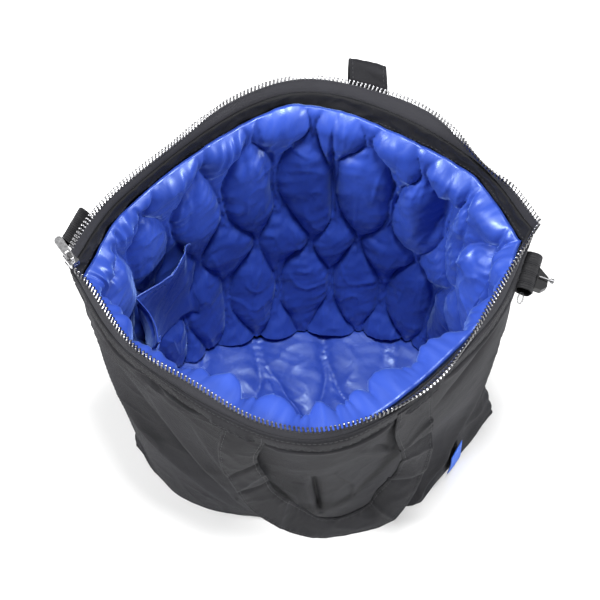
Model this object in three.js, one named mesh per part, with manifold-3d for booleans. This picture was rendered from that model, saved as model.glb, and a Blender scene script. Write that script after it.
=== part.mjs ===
// A soft carrier bag for a motorcycle helmet, open at the top: a twill body on a flat base, a zipped mouth,
// a padded lining, an inner pocket, two carrying handles and a webbing loop at each end. Millimetres, +Z up,
// the front towards -Y, the bag standing on its base at z = 0.
import * as THREE from "three";
import * as BufferGeometryUtils from "three/addons/utils/BufferGeometryUtils.js";
import Module from "manifold-3d";

// Driving sizes
const GAP = 0.3;                  // between neighbouring pieces
const CLOTH = 2.0;                // body panels, outer twill and its backing
const BAND_CLOTH = 1.6;           // doubled hem round the mouth
const TAPE_CLOTH = 1.2;           // zip tape
const FACING_CLOTH = 1.6;         // black strip inside the mouth
const LINING_CLOTH = 7.0;         // quilted lining at its seams
const LINING_PUFF = 3.0;          // how far each quilted cell swells over that
const BASE_CLOTH = 2.4;           // base panel
const BASE_SEAM = 0.9;            // from the panels' inner face to the base panel's edge
const AROUND = 56;                // steps round the bag
const HEAD = 330;                 // nominal height of the mouth

// Heights up the wall, as a share of its length from the base to the teeth
const V_PANEL_TOP = 0.905;
const V_TAPE = 0.955;
const V_TEETH = 0.99;

// The mouth, a row for each station from the right end by the back to the left end and the front
const MOUTH = [
  { x: 198, y: 2, z: 330, corner: true },
  { x: 181, y: 40, z: 331 },
  { x: 161, y: 64, z: 332 },
  { x: 124, y: 125, z: 336 },
  { x: 70, y: 156, z: 338 },
  { x: 12, y: 172, z: 338 },
  { x: -50, y: 152, z: 338 },
  { x: -111, y: 102, z: 335 },
  { x: -160, y: 60, z: 332 },
  { x: -184, y: 28, z: 330 },
  { x: -198, y: 0, z: 328, corner: true },
  { x: -176, y: -24, z: 325 },
  { x: -143, y: -80, z: 318 },
  { x: -98, y: -113, z: 314 },
  { x: -52, y: -147, z: 309 },
  { x: -5, y: -161, z: 308 },
  { x: 46, y: -154, z: 309 },
  { x: 91, y: -132, z: 312 },
  { x: 127, y: -94, z: 316 },
  { x: 153, y: -56, z: 321 },
];
const MOUTH_QUARTERS = [0, 5, 10, 15];

// Lower sections: the side seams, the four soft folds and the middles of the back and front, as [x, y]
const SECTIONS = [
  { v: 0, z: 0, right: [196, -2], foldBR: [128, 86], back: [0, 108], foldBL: [-122, 86], left: [-172, -8],
    foldFL: [-118, -76], front: [0, -103], foldFR: [110, -98], crisp: true },
  { v: 0.14, z: 45, right: [185, -2], foldBR: [138, 92], back: [0, 124], foldBL: [-130, 90], left: [-168, -6],
    foldFL: [-134, -74], front: [0, -117], foldFR: [133, -79], crisp: true },
  { v: 0.34, z: 110, right: [166, 0], foldBR: [148, 96], back: [0, 138], foldBL: [-142, 92], left: [-174, -4],
    foldFL: [-150, -66], front: [0, -131], foldFR: [158, -54], crisp: true },
  { v: 0.57, z: 188, right: [170, 0], foldBR: [152, 92], back: [0, 150], foldBL: [-150, 88], left: [-184, -2],
    foldFL: [-156, -64], front: [0, -146], foldFR: [171, -42], crisp: false },
  { v: 0.82, z: 274, right: [187, 2], foldBR: [156, 82], back: [4, 158], foldBL: [-152, 80], left: [-191, 0],
    foldFL: [-154, -70], front: [0, -162], foldFR: [160, -60], crisp: false },
  { v: 0.955, z: 321, right: [194, 2], foldBR: [151, 82], back: [8, 161], foldBL: [-148, 66], left: [-194, 0],
    foldFL: [-147, -82], front: [-3, -169], foldFR: [140, -82], crisp: false },
];
const SECTION_KEYS = ["right", "foldBR", "back", "foldBL", "left", "foldFL", "front", "foldFR"];
const SECTION_QUARTERS = [0, 2, 4, 6];

// Rows of the wall grid, shared by the panels and the lining so that their facets stay parallel
const WALL_ROWS = [0, 0.035, 0.14, 0.24, 0.34, 0.455, 0.57, 0.695, 0.82];

// Handles, a row for each place along the strap: its outer edge and its inner edge
const HANDLE_CLOTH = 2.4;
const FRONT_HANDLE = [
  { ox: -77, oy: -141.4, oz: 283, ix: -45, iy: -158.5, iz: 282 },
  { ox: -83, oy: -142, oz: 247, ix: -51, iy: -155, iz: 258 },
  { ox: -81, oy: -144, oz: 212, ix: -51, iy: -149, iz: 230 },
  { ox: -73, oy: -145, oz: 180, ix: -45, iy: -146, iz: 202 },
  { ox: -63, oy: -146, oz: 140, ix: -40, iy: -141, iz: 166 },
  { ox: -45, oy: -147, oz: 105, ix: -27, iy: -140, iz: 136 },
  { ox: -23, oy: -148, oz: 75, ix: -14, iy: -136, iz: 107 },
  { ox: 4, oy: -145, oz: 50, ix: 5, iy: -139, iz: 84 },
  { ox: 32, oy: -143, oz: 50, ix: 28, iy: -138, iz: 84 },
  { ox: 60, oy: -141, oz: 58, ix: 47, iy: -132, iz: 92 },
  { ox: 76, oy: -143, oz: 88, ix: 54, iy: -132, iz: 117 },
  { ox: 92, oy: -133, oz: 126, ix: 64, iy: -133, iz: 143 },
  { ox: 100, oy: -127, oz: 162, ix: 71, iy: -131, iz: 160 },
  { ox: 100, oy: -121, oz: 212, ix: 71, iy: -138, iz: 200 },
  { ox: 95, oy: -123, oz: 250, ix: 61, iy: -145, iz: 256 },
  { ox: 93, oy: -124.8, oz: 283, ix: 61.5, iy: -146.2, iz: 283 },
];
const BACK_HANDLE = [
  { ox: 86.8, oy: 135, oz: 300, ix: 54.6, iy: 150, iz: 300 },
  { ox: 87, oy: 145, oz: 318, ix: 55, iy: 159, iz: 318 },
  { ox: 88, oy: 157, oz: 333, ix: 56, iy: 170, iz: 334 },
  { ox: 88, oy: 166, oz: 341, ix: 56, iy: 178, iz: 342 },
  { ox: 88, oy: 173, oz: 337, ix: 56, iy: 185, iz: 338 },
  { ox: 88, oy: 173, oz: 312, ix: 56, iy: 184, iz: 313 },
  { ox: 88, oy: 164, oz: 270, ix: 56, iy: 176, iz: 275 },
  { ox: 84, oy: 153, oz: 215, ix: 55, iy: 165, iz: 232 },
  { ox: 70, oy: 148, oz: 160, ix: 47, iy: 153, iz: 186 },
  { ox: 42, oy: 148, oz: 124, ix: 30, iy: 150, iz: 156 },
  { ox: 6, oy: 147, oz: 112, ix: 5, iy: 149, iz: 146 },
  { ox: -32, oy: 147, oz: 124, ix: -20, iy: 150, iz: 156 },
  { ox: -62, oy: 144, oz: 156, ix: -40, iy: 152, iz: 184 },
  { ox: -80, oy: 139, oz: 205, ix: -51, iy: 153, iz: 222 },
  { ox: -86, oy: 134, oz: 252, ix: -55, iy: 150, iz: 259 },
  { ox: -86.5, oy: 131.6, oz: 281, ix: -56, iy: 147, iz: 283 },
  { ox: -86.8, oy: 126.2, oz: 300, ix: -56.8, iy: 143.4, iz: 300 },
];

// Webbing loops at the two ends, and the pocket
const WEBBING = 1.6;
const RIGHT_LOOP = { u: 0.975, width: 38, reach: 15, height: 12, tilt: -0.15 };
const LEFT_LOOP = { u: 0.464, width: 34, reach: 26, height: 7, tilt: 0.85, sink: 1.5 };
const POCKET_CLOTH = 1.6;
const POCKET_ROWS = [0.24, 0.34, 0.455, 0.57];
const POCKET_MOUTHS = [             // columns of the wall grid that each mouth spans, and how far its hem sags
  { from: 20, to: 25, sag: 18 },
  { from: 25, to: 31, sag: 34 },
];

// Zip slider at the left end of the mouth, turned towards the back, with its pull raised
const SLIDER = { x: -191, y: -1, z: 327.7, turn: 0.6435 };
const SLIDER_SPAN = 0.012;        // share of the mouth that the slider takes from each row of teeth
const SLIDER_BODY = { wide: 9, narrow: 7, length: 13, height: 4.4, plate: 1.3, channel: 6.2 };
const BRIDGE = { width: 2.4, post: 1.4, clear: 2.4, bar: 1.2, length: 7.8 };
const PULL = {
  length: 20, root: 6.4, tip: 7.6, thickness: 1.2, window: 3.5, windowLength: 5.6, raised: 0.61,
};

// On the right loop: a plastic hook against its fold, a metal pin across it and a wire link in the loop's end
const HOOK = { back: 8, front: 13, reach: 10, thickness: 6 };
const PIN = { radius: 1.3, knob: 2.2, length: 13, knobLength: 3, at: 2 };
const LINK = { length: 13, width: 6, wire: 1.6 };

// Plain cloth label sewn beside the right front fold, near the base
const LABEL = { from: 0.9075, to: 0.932, low: 0.017, high: 0.155, cloth: 1.0, lift: 0.5 };

const COLOURS = {
  twill: { color: 0x2e2f31, roughness: 0.85, metalness: 0 },
  webbing: { color: 0x333436, roughness: 0.9, metalness: 0 },
  satin: { color: 0x1a3fc8, roughness: 0.35, metalness: 0 },
  tape: { color: 0x35363a, roughness: 0.95, metalness: 0 },
  gunmetal: { color: 0x8b8d90, roughness: 0.35, metalness: 0.9 },
  silver: { color: 0xd9dadb, roughness: 0.25, metalness: 1 },
  plastic: { color: 0x1b1b1d, roughness: 0.5, metalness: 0 },
  label: { color: 0x2457c9, roughness: 0.7, metalness: 0 },
};

// A closed curve through stations, as a function of u: the quarter stations fall at u = 0, 1/4, 1/2 and 3/4
function stationLoop(points, corners, quarters) {
  const n = points.length;
  const steps = 40;
  const dense = [];
  const weight = (a, b) => Math.sqrt(a.distanceTo(b));
  const slope = (a, b, c, h) => {
    const before = weight(a, b);
    const after = weight(b, c);
    return new THREE.Vector3()
      .addScaledVector(b.clone().sub(a), 1 / before)
      .addScaledVector(c.clone().sub(a), -1 / (before + after))
      .addScaledVector(c.clone().sub(b), 1 / after)
      .multiplyScalar(h);
  };
  for (let i = 0; i < n; i += 1) {
    const [a, b, c, d] = [points[(i + n - 1) % n], points[i], points[(i + 1) % n], points[(i + 2) % n]];
    const h = weight(b, c);
    const chord = c.clone().sub(b);
    const out = corners[i] ? chord : slope(a, b, c, h);
    const into = corners[(i + 1) % n] ? chord : slope(b, c, d, h);
    for (let k = 0; k < steps; k += 1) {
      const t = k / steps;
      dense.push(new THREE.Vector3()
        .addScaledVector(b, 2 * t ** 3 - 3 * t ** 2 + 1)
        .addScaledVector(out, t ** 3 - 2 * t ** 2 + t)
        .addScaledVector(c, 3 * t ** 2 - 2 * t ** 3)
        .addScaledVector(into, t ** 3 - t ** 2));
    }
  }
  dense.push(dense[0]);
  const arc = [0];
  for (let i = 1; i < dense.length; i += 1) arc.push(arc[i - 1] + dense[i].distanceTo(dense[i - 1]));
  const marks = [...quarters.map((q) => arc[q * steps]), arc[arc.length - 1]];
  return (u) => {
    const turn = (((u % 1) + 1) % 1) * 4;
    const quarter = Math.min(3, Math.floor(turn));
    const s = THREE.MathUtils.lerp(marks[quarter], marks[quarter + 1], turn - quarter);
    let low = 0;
    let high = arc.length - 1;
    while (high - low > 1) {
      const mid = (low + high) >> 1;
      if (arc[mid] <= s) low = mid;
      else high = mid;
    }
    return dense[low].clone().lerp(dense[high], (s - arc[low]) / (arc[high] - arc[low]));
  };
}

const mouthLoop = stationLoop(
  MOUTH.map((m) => new THREE.Vector3(m.x, m.y, m.z)), MOUTH.map((m) => Boolean(m.corner)), MOUTH_QUARTERS);
const sectionLoops = SECTIONS.map((s) => stationLoop(
  SECTION_KEYS.map((key) => new THREE.Vector3(s[key][0], s[key][1], s.z)),
  SECTION_KEYS.map((key) => key === "right" || key === "left" || (s.crisp && key === "foldFR")),
  SECTION_QUARTERS));
const LEVELS = [...SECTIONS.map((s) => s.v), 1];

// A point of the bag's outer cloth: u goes round from the right seam by the back, v up from the base to the teeth
function wall(u, v) {
  const top = mouthLoop(u);
  const rise = top.z / HEAD;
  const ring = sectionLoops.map((loop) => {
    const p = loop(u);
    p.z *= rise;
    return p;
  });
  ring.push(top);
  let k = 0;
  while (k < LEVELS.length - 2 && v >= LEVELS[k + 1]) k += 1;
  const h = LEVELS[k + 1] - LEVELS[k];
  const t = (v - LEVELS[k]) / h;
  const slope = (i) => {
    const a = Math.max(0, i - 1);
    const b = Math.min(LEVELS.length - 1, i + 1);
    return ring[b].clone().sub(ring[a]).multiplyScalar(h / (LEVELS[b] - LEVELS[a]));
  };
  return new THREE.Vector3()
    .addScaledVector(ring[k], 2 * t ** 3 - 3 * t ** 2 + 1)
    .addScaledVector(slope(k), t ** 3 - 2 * t ** 2 + t)
    .addScaledVector(ring[k + 1], 3 * t ** 2 - 2 * t ** 3)
    .addScaledVector(slope(k + 1), t ** 3 - t ** 2);
}

// The outward direction there, taken over a short stretch so that the side seams stay soft
function outward(u, v) {
  const across = wall(u + 0.012, v).sub(wall(u - 0.012, v));
  const up = wall(u, Math.min(1, v + 0.02)).sub(wall(u, Math.max(0, v - 0.02)));
  return across.cross(up).normalize();
}

function off(u, v, distance) {
  const p = wall(u, v).addScaledVector(outward(u, v), distance);
  p.z = Math.max(0, p.z);
  return p;
}

const solid = (points, triangles) => {
  const geometry = new THREE.BufferGeometry();
  const numbers = points.flatMap((p) => [p.x, p.y, p.z]);
  geometry.setAttribute("position", new THREE.Float32BufferAttribute(numbers, 3));
  geometry.setIndex(triangles);
  return geometry;
};

// A closed solid from a row of rings, each a closed ring of points round the solid's section, up its outside and
// down its inside; both sides split their squares along the same diagonals
function ringSolid(rings, closed = false) {
  const n = rings[0].length;
  const m = rings.length;
  const points = rings.flat();
  const triangles = [];
  const quad = (a, b, c, d) => triangles.push(a, b, c, a, c, d);
  const quadAcross = (a, b, c, d) => triangles.push(b, c, d, b, d, a);
  for (let j = 0; j < (closed ? m : m - 1); j += 1) {
    const next = ((j + 1) % m) * n;
    for (let i = 0; i < n; i += 1) {
      const right = (i + 1) % n;
      const split = i < n / 2 ? quad : quadAcross;
      split(j * n + i, next + i, next + right, j * n + right);
    }
  }
  if (!closed) {
    const ends = [[0, true], [(m - 1) * n, false]];
    for (const [start, first] of ends) {
      // each end is closed by a strip across the section, from its first half to its second
      for (let i = 0; i < n / 2 - 1; i += 1) {
        const [a, b, c, d] = [start + i, start + i + 1, start + n - 2 - i, start + n - 1 - i];
        if (first) quad(a, b, c, d);
        else quad(a, d, c, b);
      }
    }
  }
  return solid(points, triangles);
}

// A sheet on the wall between two offsets, its section running up the outside and down the inside
function wallSheet(uSteps, rows, outer, inner, closed = false) {
  const rings = uSteps.map((u) => {
    const up = rows.map((v, i) => off(u, v, typeof outer === "function" ? outer(u, v, i) : outer));
    const depth = (v, i) => (typeof inner === "function" ? inner(u, v, i) : inner);
    const down = rows.map((v, i) => off(u, v, depth(v, i))).reverse();
    return [...up, ...down];
  });
  return ringSolid(rings, closed);
}

// Steps along u between two seams, on the shared grid, pulled back from each seam by half a gap
function seamSteps(from, to, pull = 0.00015) {
  const count = Math.round((to - from) * AROUND);
  return Array.from({ length: count + 1 }, (_, i) => {
    const u = from + i / AROUND;
    if (i === 0) return u + pull;
    if (i === count) return u - pull;
    return u;
  });
}

const BACK = seamSteps(0, 0.5);
const FRONT = seamSteps(0.5, 1);
const ALL_ROUND = Array.from({ length: AROUND }, (_, i) => i / AROUND);

const bag = new THREE.Group();

function add(name, geometry, look) {
  const mesh = new THREE.Mesh(geometry, new THREE.MeshStandardMaterial(COLOURS[look]));
  mesh.name = name;
  bag.add(mesh);
  return mesh;
}

// Body: front and back panels that meet at the side seams, on a base panel
const PANEL_ROWS = [...WALL_ROWS, V_PANEL_TOP - 0.001];
add("front_panel", wallSheet(FRONT, PANEL_ROWS, 0, -CLOTH), "twill");
add("back_panel", wallSheet(BACK, PANEL_ROWS, 0, -CLOTH), "twill");

function basePanel() {
  const edge = ALL_ROUND.map((u) => off(u, 0, -CLOTH - BASE_SEAM));
  const at = (z, share) => edge.map((p) => new THREE.Vector3(p.x * share, p.y * share, z));
  const rings = [at(0, 1), at(BASE_CLOTH, 1), at(BASE_CLOTH, 0.5), at(0, 0.5)];
  const n = AROUND;
  const points = [...rings.flat(), new THREE.Vector3(0, 0, 0), new THREE.Vector3(0, 0, BASE_CLOTH)];
  const triangles = [];
  for (let i = 0; i < n; i += 1) {
    const j = (i + 1) % n;
    triangles.push(i, j, n + j, i, n + j, n + i);
    triangles.push(n + i, n + j, 2 * n + j, n + i, 2 * n + j, 2 * n + i);
    triangles.push(3 * n + i, 3 * n + j, j, 3 * n + i, j, i);
    triangles.push(2 * n + i, 2 * n + j, 4 * n + 1);
    triangles.push(3 * n + j, 3 * n + i, 4 * n);
  }
  return solid(points, triangles);
}
add("base_panel", basePanel(), "twill");

// Mouth: a doubled band, a facing inside it, the zip tapes and their rows of teeth
const BAND_ROWS = [V_PANEL_TOP + 0.001, 0.93, V_TAPE - 0.0007];
add("front_band", wallSheet(FRONT, BAND_ROWS, 0.5, 0.5 - BAND_CLOTH), "twill");
add("back_band", wallSheet(BACK, BAND_ROWS, 0.5, 0.5 - BAND_CLOTH), "twill");
const FACING_OUT = 0.5 - BAND_CLOTH - GAP;
add("mouth_facing", wallSheet(ALL_ROUND, BAND_ROWS, FACING_OUT, FACING_OUT - FACING_CLOTH, true), "twill");
const TAPE_ROWS = [V_TAPE + 0.0007, V_TEETH - 0.0012];
const TAPE_OUT = -0.4;
add("front_zip_tape", wallSheet(FRONT, TAPE_ROWS, TAPE_OUT, TAPE_OUT - TAPE_CLOTH), "tape");
add("back_zip_tape", wallSheet(BACK, TAPE_ROWS, TAPE_OUT, TAPE_OUT - TAPE_CLOTH), "tape");
const TEETH_ROWS = [V_TEETH + 0.0012, 1];
const TEETH_FRONT = [0.5 + SLIDER_SPAN, ...FRONT.slice(1)];
const TEETH_BACK = [...BACK.slice(0, -1), 0.5 - SLIDER_SPAN];
add("front_teeth", wallSheet(TEETH_FRONT, TEETH_ROWS, 0.2, -1.9), "gunmetal");
add("back_teeth", wallSheet(TEETH_BACK, TEETH_ROWS, 0.2, -1.9), "gunmetal");

// Lining: quilted walls that hang from the facing, on a padded floor
const LINING_OUT = -CLOTH - GAP;
const LINING_ROWS = [...WALL_ROWS.slice(1), V_PANEL_TOP - 0.014];
const liningFace = (u, v, i) => {
  const column = Math.round(u * AROUND);
  const top = i === LINING_ROWS.length - 1;
  const puff = column % 2 === 1 && i % 2 === 1 && !top ? LINING_PUFF : 0;
  return LINING_OUT - (top ? 0.75 : 1) * LINING_CLOTH - puff;
};
const liningBack = (u, v, i) => LINING_OUT - (i === LINING_ROWS.length - 1 ? 2 * GAP : 0);
add("lining_front", wallSheet(FRONT, LINING_ROWS, liningBack, liningFace), "satin");
add("lining_back", wallSheet(BACK, LINING_ROWS, liningBack, liningFace), "satin");

// A pad over the base: an outline at its foot, swollen towards the middle, in rings that share one centre
function paddedFloor() {
  const steps = ALL_ROUND.filter((_, i) => i % 2 === 0);
  const n = steps.length;
  const low = BASE_CLOTH + GAP;
  const outline = steps.map((u) => off(u, 0.01, LINING_OUT - 2 * BASE_SEAM));
  const shares = [[1, low], [1, low + 4.5], [0.8, low + 7], [0.5, low + 6], [0.22, low + 7]];
  const points = shares.flatMap(([share, z]) => (
    outline.map((p) => new THREE.Vector3(p.x * share, p.y * share, z))));
  points.push(new THREE.Vector3(0, 0, low), new THREE.Vector3(0, 0, low + 7));
  const triangles = [];
  for (let i = 0; i < n; i += 1) {
    const j = (i + 1) % n;
    for (let k = 0; k < shares.length - 1; k += 1) {
      const [a, b] = [k * n, (k + 1) * n];
      triangles.push(a + i, a + j, b + j, a + i, b + j, b + i);
    }
    const last = (shares.length - 1) * n;
    triangles.push(last + i, last + j, shares.length * n + 1);
    triangles.push(j, i, shares.length * n);
  }
  return solid(points, triangles);
}
add("lining_base", paddedFloor(), "satin");

// Pocket: a patch sewn to the lining at the left end and tacked down between its two sagging mouths
function innerPocket() {
  const steps = [];
  const first = POCKET_MOUTHS[0].from;
  const last = POCKET_MOUTHS[POCKET_MOUTHS.length - 1].to;
  for (let i = first; i <= last; i += 1) steps.push(i / AROUND);
  const swell = LINING_OUT - LINING_CLOTH - LINING_PUFF;
  const seams = [first, ...POCKET_MOUTHS.map((mouth) => mouth.to)];
  const sag = (column, i) => {
    const mouth = POCKET_MOUTHS.find(({ from, to }) => column >= from && column <= to);
    const along = (column - mouth.from) / (mouth.to - mouth.from);
    return mouth.sag * (i / (POCKET_ROWS.length - 1)) ** 1.5 * Math.sin(Math.PI * along);
  };
  const seat = (u, v, i) => {
    const column = Math.round(u * AROUND);
    const edge = i === 0 || seams.includes(column);
    return (edge ? liningFace(u, v, i + 2) : swell - sag(column, i)) - GAP;
  };
  return wallSheet(steps, POCKET_ROWS, seat, (u, v, i) => seat(u, v, i) - POCKET_CLOTH);
}
add("inner_pocket", innerPocket(), "satin");

// A flat strap through a row of edges: each row holds the two edges of the strap's middle surface
function strap(rows, thickness, lift = 0) {
  const pairs = rows.map((r) => [new THREE.Vector3(r[0], r[1], r[2]), new THREE.Vector3(r[3], r[4], r[5])]);
  const centre = pairs.map(([a, b]) => a.clone().add(b).multiplyScalar(0.5));
  const rings = pairs.map(([a, b], i) => {
    const along = centre[Math.min(i + 1, centre.length - 1)].clone().sub(centre[Math.max(i - 1, 0)]);
    const normal = along.cross(b.clone().sub(a)).normalize();
    const at = (p, h) => p.clone().addScaledVector(normal, h);
    const top = lift + thickness / 2;
    const under = lift - thickness / 2;
    return [at(a, top), at(b, top), at(b, under), at(a, under)];
  });
  return ringSolid(rings);
}
const handleRows = (table) => table.map((r) => [r.ox, r.oy, r.oz, r.ix, r.iy, r.iz]);
add("front_handle", strap(handleRows(FRONT_HANDLE), HANDLE_CLOTH), "webbing");
add("back_handle", strap(handleRows(BACK_HANDLE), HANDLE_CLOTH), "webbing");

// A webbing loop sewn under the band: a flat tube across the wall, reaching outwards at a tilt
function webbingLoop({ u, width, reach, height, tilt, sink = 0 }) {
  const root = off(u, V_PANEL_TOP - 0.012, GAP + 0.2);
  const n = outward(u, V_PANEL_TOP);
  n.z = 0;
  n.normalize();
  const across = new THREE.Vector3(n.y, -n.x, 0);
  const out = n.clone().multiplyScalar(Math.cos(tilt)).add(new THREE.Vector3(0, 0, Math.sin(tilt)));
  const up = new THREE.Vector3().crossVectors(across, out);
  const centre = root.clone().addScaledVector(out, reach / 2 + sink);
  const sides = 16;
  const point = (k, inset, t) => {
    const a = (2 * Math.PI * k) / sides;
    const c = Math.cos(a);
    const s = Math.sin(a);
    const squash = (x) => Math.sign(x) * Math.abs(x) ** 0.7;
    return centre.clone()
      .addScaledVector(out, squash(c) * (reach / 2 - inset))
      .addScaledVector(up, squash(s) * (height / 2 - inset))
      .addScaledVector(across, t);
  };
  const rings = [];
  for (let k = 0; k < sides; k += 1) {
    const half = width / 2;
    rings.push([point(k, 0, -half), point(k, 0, half), point(k, WEBBING, half), point(k, WEBBING, -half)]);
  }
  const geometry = ringSolid(rings, true);
  return { geometry, centre, out, up, across };
}
const rightLoop = webbingLoop(RIGHT_LOOP);
const leftLoop = webbingLoop(LEFT_LOOP);
add("right_loop", rightLoop.geometry, "webbing");
add("left_loop", leftLoop.geometry, "webbing");

// Zip slider: two plates with a channel for the teeth, a wedge between them and a bridge on top
const wasm = await Module();
wasm.setup();

function toManifold(geometry) {
  let g = geometry.clone();
  g.deleteAttribute("normal");
  g.deleteAttribute("uv");
  g = BufferGeometryUtils.mergeVertices(g, 1e-4);
  return new wasm.Manifold(new wasm.Mesh({
    numProp: 3,
    vertProperties: new Float32Array(g.attributes.position.array),
    triVerts: new Uint32Array(g.index.array),
  }));
}

function fromManifold(manifold) {
  const mesh = manifold.getMesh();
  const geometry = new THREE.BufferGeometry();
  geometry.setAttribute("position", new THREE.Float32BufferAttribute(mesh.vertProperties, 3));
  geometry.setIndex(Array.from(mesh.triVerts));
  return geometry;
}

const box = (w, l, h, x = 0, y = 0, z = 0) => new THREE.BoxGeometry(w, l, h).translate(x, y, z);

function sliderBody() {
  const { wide, narrow, length, height, plate, channel } = SLIDER_BODY;
  const outline = new THREE.Shape();
  outline.moveTo(-wide / 2, -length / 2 + 2);
  outline.quadraticCurveTo(-wide / 2, -length / 2, -wide / 2 + 2, -length / 2);
  outline.lineTo(wide / 2 - 2, -length / 2);
  outline.quadraticCurveTo(wide / 2, -length / 2, wide / 2, -length / 2 + 2);
  outline.lineTo(narrow / 2, length / 2 - 1);
  outline.quadraticCurveTo(narrow / 2, length / 2, narrow / 2 - 1, length / 2);
  outline.lineTo(-narrow / 2 + 1, length / 2);
  outline.quadraticCurveTo(-narrow / 2, length / 2, -narrow / 2, length / 2 - 1);
  outline.closePath();
  const block = new THREE.ExtrudeGeometry(outline, { depth: height, bevelEnabled: false, curveSegments: 4 });
  const slot = box(channel, length + 2, height - 2 * plate, 0, 0, height / 2);
  const wedge = box(2.6, 4, height - plate, 0, -length / 2 + 2.4, height / 2);
  const bridgeShape = new THREE.Shape();
  const { post, clear, bar, length: span, width } = BRIDGE;
  bridgeShape.moveTo(-span / 2, -0.5);
  bridgeShape.lineTo(-span / 2, clear + bar - 1);
  bridgeShape.quadraticCurveTo(-span / 2, clear + bar, -span / 2 + 1, clear + bar);
  bridgeShape.lineTo(span / 2 - 1, clear + bar);
  bridgeShape.quadraticCurveTo(span / 2, clear + bar, span / 2, clear + bar - 1);
  bridgeShape.lineTo(span / 2, -0.5);
  bridgeShape.lineTo(span / 2 - post, -0.5);
  bridgeShape.lineTo(span / 2 - post, clear);
  bridgeShape.lineTo(-span / 2 + post, clear);
  bridgeShape.lineTo(-span / 2 + post, -0.5);
  bridgeShape.closePath();
  const bridge = new THREE.ExtrudeGeometry(bridgeShape, { depth: width, bevelEnabled: false, curveSegments: 3 })
    .translate(0, 0, -width / 2)
    .applyMatrix4(new THREE.Matrix4().set(0, 0, 1, 0, 1, 0, 0, 0, 0, 1, 0, 0, 0, 0, 0, 1))
    .translate(0, 0, height);
  const grooved = toManifold(block).subtract(toManifold(slot));
  return fromManifold(grooved.add(toManifold(wedge)).add(toManifold(bridge)));
}

function pullTab() {
  const { length, root, tip, thickness, window, windowLength } = PULL;
  const bar = thickness / 2;
  const outline = new THREE.Shape();
  outline.moveTo(-root / 2, -bar);
  outline.lineTo(root / 2, -bar);
  outline.lineTo(tip / 2, length - 4);
  outline.quadraticCurveTo(tip / 2, length, 0, length);
  outline.quadraticCurveTo(-tip / 2, length, -tip / 2, length - 4);
  outline.closePath();
  const hole = new THREE.Path();
  hole.moveTo(-window / 2, bar);
  hole.lineTo(-window / 2, bar + windowLength);
  hole.lineTo(window / 2, bar + windowLength);
  hole.lineTo(window / 2, bar);
  hole.closePath();
  outline.holes.push(hole);
  return new THREE.ExtrudeGeometry(outline, { depth: thickness, bevelEnabled: false, curveSegments: 5 })
    .translate(0, 0, -thickness / 2);
}

const slider = new THREE.Group();
slider.position.set(SLIDER.x, SLIDER.y, SLIDER.z);
slider.rotation.z = SLIDER.turn;
bag.add(slider);
const bodyMesh = add("slider_body", sliderBody(), "silver");
slider.add(bodyMesh);
const pull = add("pull_tab", pullTab(), "silver");
pull.position.z = SLIDER_BODY.height + BRIDGE.clear / 2;
pull.rotation.x = PULL.raised;
slider.add(pull);

// Pieces on the right loop, placed in its own frame: across the loop, outwards and up
function inLoop(geometry, { centre, out, up, across }) {
  return geometry.applyMatrix4(new THREE.Matrix4().makeBasis(across, out, up).setPosition(centre));
}
const fold = RIGHT_LOOP.reach / 2 + GAP;
const hookShape = new THREE.Shape();
hookShape.moveTo(HOOK.front, fold);
hookShape.lineTo(HOOK.front, fold + HOOK.reach - 4);
hookShape.lineTo(HOOK.front - 5, fold + HOOK.reach);
hookShape.lineTo(-1.5, fold + HOOK.reach - 1);
hookShape.lineTo(-HOOK.back, fold);
hookShape.closePath();
const hookPlate = new THREE.ExtrudeGeometry(hookShape, { depth: HOOK.thickness, bevelEnabled: false })
  .translate(0, 0, -HOOK.thickness / 2);
add("side_hook", inLoop(hookPlate, rightLoop), "plastic");

function hookPin() {
  const half = [[0, 0], [PIN.radius, 0], [PIN.radius, PIN.length - PIN.knobLength],
    [PIN.knob, PIN.length - PIN.knobLength], [PIN.knob, PIN.length], [0, PIN.length]];
  const turned = new THREE.LatheGeometry(half.map(([r, y]) => new THREE.Vector2(r, y)), 12);
  return turned.translate(PIN.at, fold + 1, HOOK.thickness / 2 + GAP + PIN.radius);
}
add("hook_pin", inLoop(hookPin(), rightLoop), "gunmetal");

function wireLink() {
  const steps = 14;
  const sides = 6;
  const rings = [];
  for (let k = 0; k < steps; k += 1) {
    const a = (2 * Math.PI * k) / steps;
    const across = (LINK.width - LINK.wire) / 2;
    const c = new THREE.Vector3(Math.cos(a) * (LINK.length - LINK.wire) / 2, Math.sin(a) * across, 0);
    const n = new THREE.Vector3(Math.cos(a) * LINK.width, Math.sin(a) * LINK.length, 0).normalize();
    rings.push(Array.from({ length: sides }, (_, i) => {
      const b = (2 * Math.PI * i) / sides;
      const rise = new THREE.Vector3(0, 0, Math.sin(b) * LINK.wire / 2);
      return c.clone().addScaledVector(n, Math.cos(b) * LINK.wire / 2).add(rise);
    }));
  }
  const floor = -RIGHT_LOOP.height / 2 + WEBBING + GAP + LINK.wire / 2;
  return ringSolid(rings, true).translate(RIGHT_LOOP.width / 2 + LINK.length / 2 - 2, 0, floor);
}
add("loop_link", inLoop(wireLink(), rightLoop), "gunmetal");

// Label beside the right front fold
const labelSteps = [LABEL.from, 51 / AROUND, 52 / AROUND, LABEL.to];
const labelRows = [LABEL.low, WALL_ROWS[1], WALL_ROWS[2], LABEL.high];
add("side_label", wallSheet(labelSteps, labelRows, LABEL.lift + LABEL.cloth, LABEL.lift), "label");

// The origin goes to the middle of the footprint of the whole bag, on the floor
const extent = new THREE.Box3().setFromObject(bag);
const middle = extent.getCenter(new THREE.Vector3());
bag.position.set(-middle.x, -middle.y, -extent.min.z);

export default bag;
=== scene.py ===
"""The looks of a soft carrier bag for a motorcycle helmet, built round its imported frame.

Shapes are worked out in millimetres on the same wall surface as the frame, then put into metres.
"""
import math

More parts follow.
